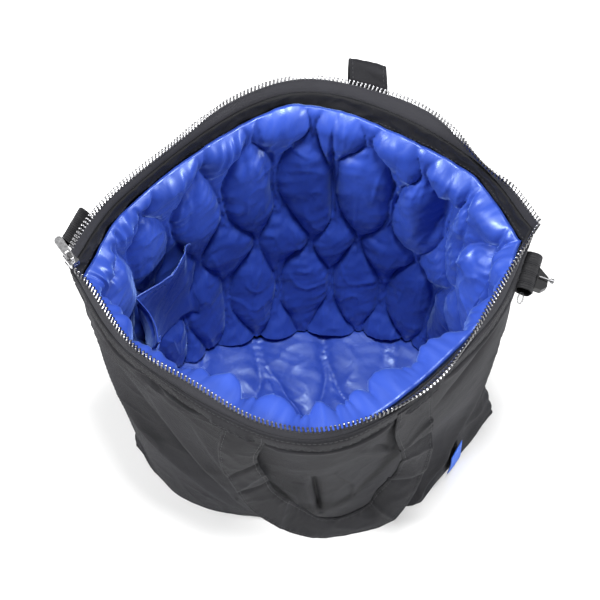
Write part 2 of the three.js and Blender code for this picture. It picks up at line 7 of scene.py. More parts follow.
import bpy
import numpy as np
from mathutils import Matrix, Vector


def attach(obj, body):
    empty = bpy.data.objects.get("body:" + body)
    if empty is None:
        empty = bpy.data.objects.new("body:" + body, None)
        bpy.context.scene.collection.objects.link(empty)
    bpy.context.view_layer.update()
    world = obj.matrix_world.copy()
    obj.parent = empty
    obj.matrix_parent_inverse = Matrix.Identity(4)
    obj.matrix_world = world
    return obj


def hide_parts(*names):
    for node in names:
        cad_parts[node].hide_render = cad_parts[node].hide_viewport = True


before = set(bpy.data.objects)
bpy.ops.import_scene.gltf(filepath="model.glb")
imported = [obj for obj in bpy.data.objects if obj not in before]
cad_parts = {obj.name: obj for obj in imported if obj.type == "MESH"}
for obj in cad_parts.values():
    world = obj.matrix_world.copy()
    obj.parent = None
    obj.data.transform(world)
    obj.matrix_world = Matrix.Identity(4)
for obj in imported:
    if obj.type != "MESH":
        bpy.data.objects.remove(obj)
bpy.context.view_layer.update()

# The bag's wall, in millimetres. u goes round from the right end by the back, the left end and the front
GAP = 0.3
CLOTH = 2.0
BAND_CLOTH = 1.6
TAPE_CLOTH = 1.2
FACING_CLOTH = 1.6
BASE_CLOTH = 2.4
HEAD = 330
V_PANEL_TOP = 0.905
V_TAPE = 0.955
V_TEETH = 0.99
MIDDLE = np.array([-1.692354585, -8.301963806, 0.0])   # added to a table's point to put it in the frame
ROUND = 1150.0                                         # rough length of the wall round the bag
RISE = 350.0                                           # rough length of the wall from the base to the teeth

MOUTH = [  # x, y, z of each station
    (198, 2, 330), (181, 40, 331), (161, 64, 332), (124, 125, 336), (70, 156, 338),
    (12, 172, 338), (-50, 152, 338), (-111, 102, 335), (-160, 60, 332), (-184, 28, 330),
    (-198, 0, 328), (-176, -24, 325), (-143, -80, 318), (-98, -113, 314), (-52, -147, 309),
    (-5, -161, 308), (46, -154, 309), (91, -132, 312), (127, -94, 316), (153, -56, 321),
]
MOUTH_CORNERS = (0, 10)
SECTIONS = [  # v, z, then x, y at the right seam and seven more places, through the back, left seam and front
    (0, 0, (196, -2), (128, 86), (0, 108), (-122, 86), (-172, -8), (-118, -76), (0, -103), (110, -98)),
    (0.14, 45, (185, -2), (138, 92), (0, 124), (-130, 90), (-168, -6), (-134, -74), (0, -117), (133, -79)),
    (0.34, 110, (166, 0), (148, 96), (0, 138), (-142, 92), (-174, -4), (-150, -66), (0, -131), (158, -54)),
    (0.57, 188, (170, 0), (152, 92), (0, 150), (-150, 88), (-184, -2), (-156, -64), (0, -146), (171, -42)),
    (0.82, 274, (187, 2), (156, 82), (4, 158), (-152, 80), (-191, 0), (-154, -70), (0, -162), (160, -60)),
    (0.955, 321, (194, 2), (151, 82), (8, 161), (-148, 66), (-194, 0), (-147, -82), (-3, -169), (140, -82)),
]
CRISP_BELOW = 0.4                                      # the front right fold is sharp below this height


def station_loop(points, corners, quarters):
    """A closed curve through points as a function of u; the stations in quarters fall a quarter turn apart."""
    points = np.array(points, float)
    n = len(points)

    def slope(a, b, c, h):
        before, after = np.sqrt(np.linalg.norm(b - a)), np.sqrt(np.linalg.norm(c - b))
        return h * ((b - a) / before - (c - a) / (before + after) + (c - b) / after)

    t = (np.arange(40) / 40)[:, None]
    dense = []
    for i in range(n):
        a, b, c, d = (points[(i + k) % n] for k in (-1, 0, 1, 2))
        h = np.sqrt(np.linalg.norm(c - b))
        out = c - b if i in corners else slope(a, b, c, h)
        into = c - b if (i + 1) % n in corners else slope(b, c, d, h)
        dense.append(b * (2 * t**3 - 3 * t**2 + 1) + out * (t**3 - 2 * t**2 + t)
                     + c * (3 * t**2 - 2 * t**3) + into * (t**3 - t**2))
    dense = np.concatenate(dense + [points[:1]])
    arc = np.concatenate([[0], np.cumsum(np.linalg.norm(np.diff(dense, axis=0), axis=1))])
    marks = np.array([arc[q * 40] for q in quarters] + [arc[-1]])

    def at(u):
        turn = (np.asarray(u) % 1) * 4
        quarter = np.minimum(3, turn.astype(int))
        s = marks[quarter] + (marks[quarter + 1] - marks[quarter]) * (turn - quarter)
        return np.stack([np.interp(s, arc, dense[:, k]) for k in range(points.shape[1])], -1)

    return at


mouth_loop = station_loop(MOUTH, MOUTH_CORNERS, (0, 5, 10, 15))
section_loops = []
for level, height, *places in SECTIONS:
    corners = (0, 4, 7) if level < CRISP_BELOW else (0, 4)
    section_loops.append(station_loop([(x, y, height) for x, y in places], corners, (0, 2, 4, 6)))
LEVELS = np.array([row[0] for row in SECTIONS] + [1.0])


def wall(u, v):
    """A point of the outer cloth: u round the bag from the right seam, v up from the base to the teeth."""
    u, v = np.broadcast_arrays(np.asarray(u, float), np.asarray(v, float))
    top = mouth_loop(u)
    ring = np.stack([loop(u) for loop in section_loops] + [top])
    ring[:-1, ..., 2] *= top[..., 2] / HEAD
    last = len(LEVELS) - 1
    slopes = np.stack([
        (ring[min(last, i + 1)] - ring[max(0, i - 1)]) / (LEVELS[min(last, i + 1)] - LEVELS[max(0, i - 1)])
        for i in range(last + 1)
    ])
    k = np.clip(np.searchsorted(LEVELS, v, side="right") - 1, 0, last - 1)
    h = LEVELS[k + 1] - LEVELS[k]
    t = ((v - LEVELS[k]) / h)[..., None]
    pick = lambda a, i: np.take_along_axis(a, i[None, ..., None], 0)[0]
    h = h[..., None]
    return (pick(ring, k) * (2 * t**3 - 3 * t**2 + 1) + pick(slopes, k) * h * (t**3 - 2 * t**2 + t)
            + pick(ring, k + 1) * (3 * t**2 - 2 * t**3) + pick(slopes, k + 1) * h * (t**3 - t**2))


def up_band(v):
    """0 at the foot of the band and 1 at its top."""
    return (v - V_PANEL_TOP) / (V_TAPE - V_PANEL_TOP)


def bell(x, width):
    return np.exp(-(x / width) ** 2)


def unit(a):
    return a / np.maximum(np.linalg.norm(a, axis=-1, keepdims=True), 1e-9)


def outward(u, v):
    u, v = np.broadcast_arrays(np.asarray(u, float), np.asarray(v, float))
    across = wall(u + 0.012, v) - wall(u - 0.012, v)
    up = wall(u, np.minimum(1, v + 0.02)) - wall(u, np.maximum(0, v - 0.02))
    return unit(np.cross(across, up))


def off(u, v, distance):
    p = wall(u, v) + outward(u, v) * np.asarray(distance)[..., None]
    p[..., 2] = np.maximum(p[..., 2], 0)
    return p


# Noise and folds

def noise(x, y, seed=0):
    """Smooth noise from -1 to 1 over a grid one unit wide."""
    x, y = np.broadcast_arrays(np.asarray(x, float), np.asarray(y, float))
    xi, yi = np.floor(x), np.floor(y)
    xf, yf = x - xi, y - yi

    def corner(dx, dy):
        h = np.sin((xi + dx) * 127.1 + (yi + dy) * 311.7 + seed * 74.7) * 43758.5453
        a = (h - np.floor(h)) * 2 * np.pi
        return np.cos(a) * (xf - dx) + np.sin(a) * (yf - dy)

    sx, sy = xf**3 * (xf * (xf * 6 - 15) + 10), yf**3 * (yf * (yf * 6 - 15) + 10)
    low = corner(0, 0) + (corner(1, 0) - corner(0, 0)) * sx
    high = corner(0, 1) + (corner(1, 1) - corner(0, 1)) * sx
    return (low + (high - low) * sy) * 1.5


def crest(x, y, seed=0, power=2.5):
    """Thin ridges with broad hollows between them, from 0 to 1."""
    return np.clip(1 - np.abs(noise(x, y, seed)) * 1.6, 0, 1) ** power


def smooth(low, high, x):
    t = np.clip((x - low) / (high - low), 0, 1)
    return t * t * (3 - 2 * t)


def fold_relief(u, v, folds):
    """The height in millimetres of listed folds, each with its path, width, rise and steep side."""
    s, t = u * ROUND, v * RISE
    total = np.zeros(np.broadcast(u, v).shape)
    for path, wide, rise, steep in folds:
        points = np.array(path, float) * (ROUND, RISE)
        lengths = np.linalg.norm(np.diff(points, axis=0), axis=1)
        whole, done = lengths.sum(), 0.0
        best = np.full(total.shape, 1e9)
        place, side = np.zeros(total.shape), np.zeros(total.shape)
        for a, b, length in zip(points[:-1], points[1:], lengths):
            d = (b - a) / length
            along = np.clip((s - a[0]) * d[0] + (t - a[1]) * d[1], 0, length)
            across = s - a[0] - along * d[0]
            away = np.hypot(across, t - a[1] - along * d[1])
            near = away < best
            best = np.where(near, away, best)
            side = np.where(near, across, side)
            place = np.where(near, (done + along) / whole, place)
            done += length
        swell = np.sin(np.pi * np.clip(place, 0.02, 0.98)) ** 0.5
        reach = wide * np.where(steep * side > 0, 0.4, 1.0 + 0.7 * abs(steep))
        total += rise * swell * np.exp(-(best / reach) ** (1.6 if rise > 0 else 1.25))
    return total


# Each row: the fold's path as (u, v), its width and its rise in millimetres (below zero for a crease), and the
# side on which it falls steeply: 1 towards higher u, -1 towards lower u, 0 for neither
FRONT_FOLDS = [
    (((0.590, 0.872), (0.606, 0.886), (0.622, 0.880)), 4.0, -4.5, 0),
    (((0.583, 0.848), (0.612, 0.862), (0.634, 0.846), (0.664, 0.868)), 5.0, 4.2, 0),
    (((0.548, 0.835), (0.566, 0.862), (0.590, 0.880)), 4.0, -3.0, 0),
    (((0.536, 0.820), (0.545, 0.740), (0.568, 0.560), (0.590, 0.480), (0.629, 0.340), (0.672, 0.150)),
     10.0, 7.0, -1),
    (((0.566, 0.800), (0.600, 0.640), (0.640, 0.430), (0.668, 0.300)), 7.0, -3.0, 0),
    (((0.597, 0.780), (0.621, 0.620), (0.651, 0.420), (0.692, 0.120)), 9.0, 4.6, -1),
    (((0.640, 0.760), (0.660, 0.560), (0.690, 0.330)), 8.0, 3.0, -1),
    (((0.745, 0.640), (0.750, 0.420), (0.757, 0.150)), 2.6, -9.0, 0),
    (((0.738, 0.600), (0.742, 0.380), (0.750, 0.180)), 8.0, 4.5, 1),
    (((0.781, 0.800), (0.800, 0.700), (0.821, 0.600)), 5.0, 3.2, 0),
    (((0.795, 0.780), (0.812, 0.680)), 3.5, -2.4, 0),
    (((0.764, 0.640), (0.785, 0.460), (0.790, 0.300)), 6.0, 2.8, -1),
    (((0.705, 0.560), (0.722, 0.400), (0.735, 0.240)), 6.0, -2.6, 0),
    (((0.931, 0.866), (0.905, 0.800), (0.862, 0.740)), 8.0, -3.6, 0),
    (((0.955, 0.700), (0.948, 0.557), (0.943, 0.353), (0.934, 0.259), (0.917, 0.190), (0.889, 0.080),
      (0.866, 0.0)), 15.0, -9.0, -1),
    (((0.945, 0.700), (0.9375, 0.557), (0.9325, 0.353), (0.9238, 0.259), (0.9062, 0.219), (0.8788, 0.090),
      (0.854, 0.0)), 5.0, 3.0, 1),
    (((0.950, 0.300), (0.965, 0.240), (0.985, 0.200)), 5.0, -3.4, 0),
    (((0.945, 0.190), (0.965, 0.140), (0.988, 0.100)), 6.0, 3.4, 0),
    (((0.510, 0.300), (0.530, 0.220), (0.556, 0.180)), 5.0, -3.6, 0),
    (((0.508, 0.180), (0.528, 0.130), (0.560, 0.060)), 6.0, 3.4, 0),
]
BACK_FOLDS = [
    (((0.020, 0.820), (0.050, 0.640), (0.070, 0.420)), 9.0, 4.2, 1),
    (((0.060, 0.860), (0.095, 0.640), (0.110, 0.380)), 7.0, -3.4, 0),
    (((0.110, 0.800), (0.135, 0.560), (0.150, 0.260)), 9.0, 4.6, -1),
    (((0.215, 0.420), (0.225, 0.250), (0.240, 0.080)), 6.0, -3.0, 0),
    (((0.240, 0.700), (0.252, 0.460), (0.262, 0.200)), 7.0, 3.0, 1),
    (((0.290, 0.420), (0.282, 0.260), (0.270, 0.120)), 6.0, 3.0, -1),
    (((0.380, 0.820), (0.360, 0.560), (0.350, 0.240)), 9.0, 4.8, 1),
    (((0.430, 0.860), (0.405, 0.620), (0.390, 0.330)), 7.0, -3.8, 0),
    (((0.470, 0.780), (0.448, 0.560), (0.440, 0.300)), 9.0, 4.0, -1),
    (((0.015, 0.260), (0.035, 0.200), (0.060, 0.170)), 5.0, -3.4, 0),
    (((0.012, 0.150), (0.036, 0.100), (0.070, 0.060)), 6.0, 3.0, 0),
    (((0.440, 0.200), (0.465, 0.150), (0.490, 0.130)), 5.0, -3.0, 0),
]
SEAM_FADE = 16.0                                       # how far a side seam's puckers reach, in millimetres


def seam_distance(u):
    """Millimetres to the nearer side seam."""
    return np.abs((u + 0.25) % 0.5 - 0.25) * ROUND


def panel_relief(u, v):
    """How far the outer twill stands out from the wall, in millimetres."""
    s, t = u * ROUND, v * RISE
    w = u % 1
    front = w > 0.5
    slant = np.where(front, np.interp(w, (0.5, 0.6, 0.75, 0.9, 1.0), (0.52, 0.52, 0.05, -0.25, -0.2)),
                     np.interp(w, (0, 0.12, 0.25, 0.38, 0.5), (0.15, 0.22, 0.0, -0.22, -0.15)))
    q = s + slant * t + 5 * noise(s / 60, t / 60, 4)
    long_folds = 1.7 * noise(q / 62, t / 220, 1) + 0.9 * crest(q / 48 + 0.4, t / 170, 2, 5.0)
    crumple = 0.8 * crest(s / 60 + t / 90, t / 52 - s / 120, 3, 7.0)
    crumple = crumple * smooth(0.0, 0.5, noise(s / 90, t / 90, 8))
    small = 0.16 * noise(s / 13, t / 15, 5)
    listed = np.where(front, fold_relief(w, v, FRONT_FOLDS), fold_relief(w, v, BACK_FOLDS))
    calm = smooth(0.905, 0.80, v) * smooth(0.0, 0.10, v)
    strip = smooth(0.84, 0.86, w) * smooth(0.95, 0.93, w)
    handles = np.where(front, smooth(0.66, 0.69, w) * smooth(0.86, 0.83, w),
                       smooth(0.16, 0.18, w) * smooth(0.36, 0.34, w))
    wide = (long_folds + crumple) * (0.35 + 0.65 * calm) * (1 - 0.45 * handles) * (1 - 0.8 * strip)
    wide = wide * smooth(0.905, 0.87, v) + listed * smooth(0.91, 0.88, v)
    relief = wide + small * calm
    relief = np.where(handles > 0.3, np.minimum(relief, 2.2), relief)
    seam = seam_distance(u)
    relief = np.clip(relief, -8.0, 10.0) * smooth(0, 42, seam)     # the panels meet level at the side seams
    pucker = 0.8 * np.sin(2 * np.pi * t / 19 + 4 * noise(t / 40, 1.5, 6)) * np.exp(-seam / SEAM_FADE)
    foot = 0.9 * noise(s / 24, 0.5, 7) * np.exp(-t / 12)
    groove = -1.3 * bell(seam, 1.8)
    down = (V_PANEL_TOP - v) * RISE
    free = smooth(46, 20, 66 - root_distance(u))
    bulge = 3.2 * bell(down - 8.0, 5.0) * (0.65 + 0.55 * noise(s / 48, 6.5, 9)) * free
    valley = -3.4 * bell(down - 1.2, 1.9)
    return relief + (pucker + foot) * smooth(0.9, 0.84, v) + groove + bulge + valley


def band_relief(u, v):
    """The doubled band: soft hems, a line of topstitching near each edge, and slots over the handle roots."""
    s, t = u * ROUND, (v - V_PANEL_TOP) * RISE
    up = up_band(v)
    wave = 0.8 * noise(s / 55, t / 30, 11) + 0.5 * crest(s / 38 + t / 60, t / 30, 12, 3)
    stitch = -0.45 * (bell((up - 0.80) * 17, 0.9) + bell((up - 0.20) * 17, 0.9))
    pucker = 0.3 * np.sin(2 * np.pi * s / 8.5 + 2 * noise(s / 25, 2.5, 13)) * bell(up - 0.2, 0.18)
    seam = -0.9 * bell(seam_distance(u), 1.8)
    return wave * smooth(1.0, 0.75, up) + stitch + pucker + seam + root_lift(u) * smooth(0.9, 0.0, up)


ROOTS = (0.166, 0.196, 0.316, 0.347, 0.6815, 0.8385)   # where a handle goes in under the band, as u


def root_distance(u):
    """Millimetres to the nearest handle root."""
    return np.min([np.abs((u - place + 0.5) % 1 - 0.5) * ROUND for place in ROOTS], axis=0)


def root_lift(u):
    """The band stands off over each handle root."""
    return 3.4 * smooth(26, 15, root_distance(u))


# Quilting: seams that wind in opposite phase, so that they enclose onion-shaped cells
CELLS = 36                                             # seams round the bag
CELL_PITCH = 31.9
CELL_LENGTH = 150.0
SWAY = 0.40
CELL_SKEW = 0.55                                       # makes each cell rounder below and more pointed above
SEAM_DEPTH = 6.2                                       # lining's thickness along a seam
PUFF = 10.5                                            # how much more it is in the middle of a cell


def quilt(a, t, puff=PUFF, seed=20):
    """Height of the quilting at a, counted in seam pitches, and t in millimetres; 0 along a seam."""
    a, t = np.broadcast_arrays(np.asarray(a, float), np.asarray(t, float))
    a = a + 0.34 * noise(a / 2.6, t / 110, seed) + 0.10 * noise(a, t / 34, seed + 1)
    t = t + 22 * noise(a / 2.1, t / 120, seed + 2)
    turn = 2 * np.pi * t / CELL_LENGTH
    phase = turn + CELL_SKEW * np.sin(turn)
    near = np.floor(a)
    lines = []
    for k in (near - 1, near, near + 1, near + 2):
        sign = np.where(k % 2 == 0, 1.0, -1.0)
        lines.append(k + sign * SWAY * np.cos(phase))
    lines = np.sort(np.stack(lines), axis=0)
    index = np.clip((lines <= a).sum(0) - 1, 0, 2)
    left = np.take_along_axis(lines, index[None], 0)[0]
    right = np.take_along_axis(lines, index[None] + 1, 0)[0]
    half = np.maximum((right - left) / 2, 0.05)
    x = np.clip(np.minimum(a - left, right - a) / half, 0, 1)
    slope = SWAY * CELL_PITCH * 2 * np.pi / CELL_LENGTH * np.sin(phase)
    away = x * half * CELL_PITCH / np.sqrt(1 + slope**2)
    body = puff * np.clip(half / 0.6, 0.3, 1.35) ** 0.8 * np.sqrt(np.clip(1 - (1 - x) ** 2, 0, 1))
    side = np.where(a - left < right - a, 1.0, -1.0)
    gather = 2.3 * noise((t + 0.35 * side * away) / 10.5, a * 0.45 + side * 3.1, seed + 3) * np.exp(-away / 15)
    return body + gather * smooth(0, 3, away)


LINING_FOLDS = [  # as for the twill
    (((0.090, 0.880), (0.090, 0.803), (0.103, 0.672), (0.112, 0.520)), 12.0, -11.0, 0),
    (((0.107, 0.860), (0.062, 0.800), (0.040, 0.700), (0.050, 0.520)), 24.0, 12.0, 0),
    (((0.132, 0.870), (0.130, 0.740), (0.126, 0.560)), 18.0, 6.0, 0),
    (((0.2122, 0.885), (0.2110, 0.700), (0.2078, 0.500)), 3.0, -7.0, 0),
    (((0.147, 0.850), (0.152, 0.700), (0.138, 0.548)), 6.0, -4.0, 0),
    (((0.288, 0.850), (0.276, 0.700), (0.262, 0.560)), 7.0, -3.5, 0),
    (((0.340, 0.870), (0.352, 0.740), (0.360, 0.600)), 8.0, -4.0, 0),
    (((0.420, 0.880), (0.430, 0.760), (0.424, 0.640)), 10.0, -4.0, 0),
    (((0.455, 0.860), (0.462, 0.740), (0.460, 0.620)), 14.0, 5.0, 0),
    (((0.540, 0.870), (0.560, 0.800), (0.600, 0.760)), 10.0, 4.0, 0),
    (((0.930, 0.870), (0.920, 0.780), (0.900, 0.700)), 12.0, 5.0, 0),
]
LINING_TOP = 0.899


def front_share(u):
    """1 along the front, where the lining swells out the most, and 0 elsewhere."""
    return smooth(0.59, 0.66, u % 1) * smooth(0.92, 0.84, u % 1)


def lining_relief(u, v):
    """How far the lining's face stands into the bag from its back, in millimetres."""
    s, t = u * ROUND, v * RISE
    a = u * CELLS
    face = SEAM_DEPTH + quilt(a, t)
    face = face + np.clip(fold_relief(u % 1, v, LINING_FOLDS), -9, 13)
    broad = crest(s / 40 + t / 80, t / 34 - s / 110, 30, 5.0) * smooth(-0.1, 0.4, noise(s / 60, t / 60, 31))
    steep = crest(s / 17 + t / 140, t / 66, 36, 3.5) * smooth(-0.2, 0.4, noise(s / 50, t / 50, 37))
    face = face + 1.8 * broad + 1.5 * steep
    face = face + 0.2 * noise(s / 10, t / 9, 32) + 0.7 * noise(s / 30, t / 24, 33)
    pressed = smooth(0.352, 0.366, u % 1) * smooth(0.560, 0.546, u % 1)    # under the pocket
    pressed = pressed * smooth(0.585, 0.55, v) * smooth(0.20, 0.25, v)
    face = face + (6.0 - face) * 0.45 * pressed
    down = (LINING_TOP - v) * RISE
    fan = np.sin(2 * np.pi * s / 14 + 4.0 * noise(s / 40, down / 50, 34))
    fan = fan * smooth(-0.25, 0.5, noise(s / 58, 3.3, 35))
    face = face + (3.2 - 2.2 * front_share(u)) * fan * np.exp(-down / 20) * smooth(-2, 3, down)
    thin = 1 - np.exp(-np.maximum(down, 0) / 7)
    face = 3.0 + (face - 3.0) * thin
    return np.maximum(face, 2.4)


# Meshes

def make_object(name, points, faces, uvs=None, material=None, body="bag", shade=True):
    """A mesh from points in table millimetres; uvs has one row for each point, in metres along the cloth."""
    mesh = bpy.data.meshes.new(name)
    mesh.from_pydata(((points + MIDDLE) * 0.001).tolist(), [], [list(f) for f in faces])
    if uvs is not None:
        layer = mesh.uv_layers.new(name="cloth")
        index = np.empty(len(mesh.loops), dtype=np.int32)
        mesh.loops.foreach_get("vertex_index", index)
        layer.data.foreach_set("uv", np.asarray(uvs, np.float32)[index].ravel())
    if shade:
        mesh.polygons.foreach_set("use_smooth", np.ones(len(mesh.polygons), dtype=bool))
    mesh.update()
    obj = bpy.data.objects.new(name, mesh)
    bpy.context.scene.collection.objects.link(obj)
    if material is not None:
        mesh.materials.append(material)
    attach(obj, body)
    return obj


def ring_faces(m, n, closed, ends=True):
    """Quads over m rings of n points, each ring closed; open ends are closed by a strip across the ring."""
    j = np.arange(m if closed else m - 1)[:, None]
    i = np.arange(n)[None, :]
    k, r = (j + 1) % m, (i + 1) % n
    faces = np.stack([j * n + i, k * n + i, k * n + r, j * n + r], -1).reshape(-1, 4).tolist()
    if ends and not closed:
        h = n // 2
        i = np.arange(h - 1)
        first = np.stack([i, i + 1, n - 2 - i, n - 1 - i], -1)
        faces += first.tolist() + (first[:, ::-1] + (m - 1) * n).tolist()
    return faces


def sheet_ends(m, n, keep):
    """Both open ends of a sheet of m rings of n points, whose back has only the rows of the face in keep."""
    faces = []
    for k in range(len(keep) - 1):
        first = [*range(keep[k], keep[k + 1] + 1), n - 2 - k, n - 1 - k]
        faces += [first, [(m - 1) * n + i for i in first[::-1]]]
    return faces


def edge_rows(low, high, count, fringe, steps=4):
    """Rows from low to high, closer together within fringe of each end."""
    inner = np.linspace(low + fringe, high - fringe, count)
    ease = 1 - np.cos(np.linspace(0, np.pi / 2, steps + 1)[:-1])
    return np.concatenate([low + ease * fringe, inner, (high - ease * fringe)[::-1]])


def hem(x, low, high, radius, depth):
    """A rounded edge: 0 in the middle of low..high and -depth at both ends; radius is in the units of x."""
    d = np.clip(np.minimum(x - low, high - x) / radius, 0, 1)
    return -depth * (1 - np.sqrt(np.clip(1 - (1 - d) ** 2, 0, 1)))


def wall_cloth(name, u, v, outer, inner, material, closed=False, inner_step=6, flip=False, warp=None):
    """A closed sheet on the wall between two offsets; the face of outer is the fine one."""
    fine_u, fine_v = np.meshgrid(u, v, indexing="ij")
    keep = sorted(set(range(0, len(v), inner_step)) | {len(v) - 1})
    coarse_u, coarse_v = np.meshgrid(u, v[keep][::-1], indexing="ij")
    moved = warp or (lambda u, v: v)
    outside = off(fine_u, moved(fine_u, fine_v), outer(fine_u, fine_v))
    inside = off(coarse_u, moved(coarse_u, coarse_v), inner(coarse_u, coarse_v))
    rings = np.concatenate([outside, inside], axis=1)
    u_all = np.concatenate([fine_u, coarse_u], axis=1)
    v_all = np.concatenate([fine_v, coarse_v], axis=1)
    m, n = rings.shape[:2]
    uvs = np.stack([u_all * ROUND, v_all * RISE], -1) * 0.001
    faces = ring_faces(m, n, closed, ends=False) + ([] if closed else sheet_ends(m, n, keep))
    if flip:
        faces = [f[::-1] for f in faces]
    return make_object(name, rings.reshape(-1, 3), faces, uvs.reshape(-1, 2), material)


def stitches(name, path, normals, material, step=4.2, length=3.1, radius=0.32, sink=0.05):
    """A row of thread stitches along a path of points, lying on the cloth whose normals are given."""
    arc = np.concatenate([[0], np.cumsum(np.linalg.norm(np.diff(path, axis=0), axis=1))])
    places = np.arange(step / 2, arc[-1] - length / 2, step)
    pick = lambda s: np.stack([np.interp(s, arc, path[:, k]) for k in range(3)], -1)
    centre = pick(places)
    along = unit(pick(places + length / 2) - pick(places - length / 2))
    normal = unit(np.stack([np.interp(places, arc, normals[:, k]) for k in range(3)], -1))
    side = unit(np.cross(normal, along))
    normal = np.cross(along, side)
    rings = [(-0.5, 0.35, -0.9), (-0.32, 0.95, 0.0), (0.0, 1.0, 0.25), (0.32, 0.95, 0.0), (0.5, 0.35, -0.9)]
    angles = np.arange(6) * np.pi / 3
    points = []
    for where, thick, lift in rings:
        for angle in angles:
            points.append(centre + along * (where * length) + side * (math.cos(angle) * thick * radius)
                          + normal * ((math.sin(angle) * thick + lift - sink) * radius))
    points = np.stack(points, 1)
    count = len(rings)
    base = [[k * 6 + i, k * 6 + (i + 1) % 6, (k + 1) * 6 + (i + 1) % 6, (k + 1) * 6 + i]
            for k in range(count - 1) for i in range(6)]
    shift = (np.arange(len(centre)) * count * 6)[:, None, None]
    faces = np.array(base)[None] + shift
    ends = np.array([[5, 4, 3, 2, 1, 0], [24, 25, 26, 27, 28, 29]])[None] + shift
    faces = faces.reshape(-1, 4).tolist() + ends.reshape(-1, 6).tolist()
    uvs = np.zeros((points.shape[0] * points.shape[1], 2))
    return make_object(name, points.reshape(-1, 3), faces, uvs, material)


# Materials

def node(tree, kind, inputs=None, **props):
    made = tree.nodes.new("ShaderNode" + kind)
    for key, value in props.items():
        setattr(made, key, value)
    for key, value in (inputs or {}).items():
        if isinstance(value, bpy.types.NodeSocket):
            tree.links.new(value, made.inputs[key])
        else:
            made.inputs[key].default_value = value
    return made


def surface(name, roughness, metallic=0.0, **sockets):
    material = bpy.data.materials.new(name)
    material.use_nodes = True
    shader = material.node_tree.nodes["Principled BSDF"]
    shader.inputs["Roughness"].default_value = roughness
    shader.inputs["Metallic"].default_value = metallic
    for key, value in sockets.items():
        shader.inputs[key.replace("_", " ")].default_value = value
    return material, material.node_tree, shader


def two_tone(tree, factor, dark, light):
    mix = node(tree, "Mix", data_type="RGBA")
    tree.links.new(factor, mix.inputs[0])
    mix.inputs[6].default_value = (*dark, 1)
    mix.inputs[7].default_value = (*light, 1)
    return mix.outputs[2]


def woven(name, dark, light, roughness, period, relief, sheen, rib=False, wrinkle=0.0006, melange=0.5,
          specular=0.35):
    """Cloth with a diagonal twill, or straight ribs across it, mottled yarns and faint wrinkles."""
    material, tree, shader = surface(name, roughness, Sheen_Weight=sheen, Sheen_Roughness=0.4,
                                     Sheen_Tint=(0.8, 0.85, 1, 1), Specular_IOR_Level=specular)
    place = node(tree, "UVMap", uv_map="cloth").outputs[0]
    direction = "X" if rib else "DIAGONAL"
    scale = 2 * math.pi / (20 if rib else 10) / period
    wave = node(tree, "TexWave", {"Vector": place, "Scale": scale, "Distortion": 1.2, "Detail": 1.0,
                                           "Detail Scale": 0.3}, bands_direction=direction)
    yarn = node(tree, "TexNoise", {"Vector": place, "Scale": 900.0, "Detail": 2.0})
    patch = node(tree, "TexNoise", {"Vector": place, "Scale": 14.0, "Detail": 3.0})
    tone = node(tree, "Math", {0: yarn.outputs["Fac"], 1: melange}, operation="MULTIPLY")
    tone = node(tree, "Math", {0: tone.outputs[0], 1: patch.outputs["Fac"]}, operation="ADD")
    tone = node(tree, "MapRange", {"Value": tone.outputs[0], "From Min": 0.45, "From Max": 1.05})
    tree.links.new(two_tone(tree, tone.outputs[0], dark, light), shader.inputs["Base Color"])
    crease = node(tree, "TexNoise", {"Vector": place, "Scale": 48.0, "Detail": 4.0, "Distortion": 1.5})
    low = node(tree, "Bump", {"Height": crease.outputs["Fac"], "Strength": 0.55, "Distance": wrinkle})
    fine = node(tree, "Bump", {"Height": wave.outputs["Fac"], "Strength": 0.6, "Distance": relief,
                                         "Normal": low.outputs[0]})
    last = node(tree, "Bump", {"Height": yarn.outputs["Fac"], "Strength": 0.4, "Distance": relief,
                                         "Normal": fine.outputs[0]})
    tree.links.new(last.outputs[0], shader.inputs["Normal"])
    return material


def satin(name, dark, light):
    """Shiny woven lining: a tinted gloss, fine threads and the small wrinkles of thin cloth."""
    material, tree, shader = surface(name, 0.36, 0.0, Specular_IOR_Level=1.0, Specular_Tint=(0.62, 0.78, 1, 1),
                                     Sheen_Weight=0.45, Sheen_Roughness=0.3, Sheen_Tint=(0.35, 0.55, 1, 1))
    place = node(tree, "UVMap", uv_map="cloth").outputs[0]
    patch = node(tree, "TexNoise", {"Vector": place, "Scale": 26.0, "Detail": 4.0})
    tree.links.new(two_tone(tree, patch.outputs["Fac"], dark, light), shader.inputs["Base Color"])
    thread = node(tree, "TexWave", {"Vector": place, "Scale": 500.0, "Distortion": 0.6},
                  bands_direction="Y")
    moire = node(tree, "TexWave", {"Vector": place, "Scale": 34.0, "Distortion": 9.0, "Detail": 2.0,
                                            "Detail Scale": 1.4}, bands_direction="DIAGONAL")
    rough = node(tree, "MapRange", {"Value": moire.outputs["Fac"], "To Min": 0.34, "To Max": 0.48})
    tree.links.new(rough.outputs[0], shader.inputs["Roughness"])
    crease = node(tree, "TexNoise", {"Vector": place, "Scale": 42.0, "Detail": 3.0, "Distortion": 1.6})
    low = node(tree, "Bump", {"Height": crease.outputs["Fac"], "Strength": 0.6, "Distance": 0.0008})
    fine = node(tree, "Bump", {"Height": thread.outputs["Fac"], "Strength": 0.3, "Distance": 0.00008,
                                         "Normal": low.outputs[0]})
    tree.links.new(fine.outputs[0], shader.inputs["Normal"])
    return material


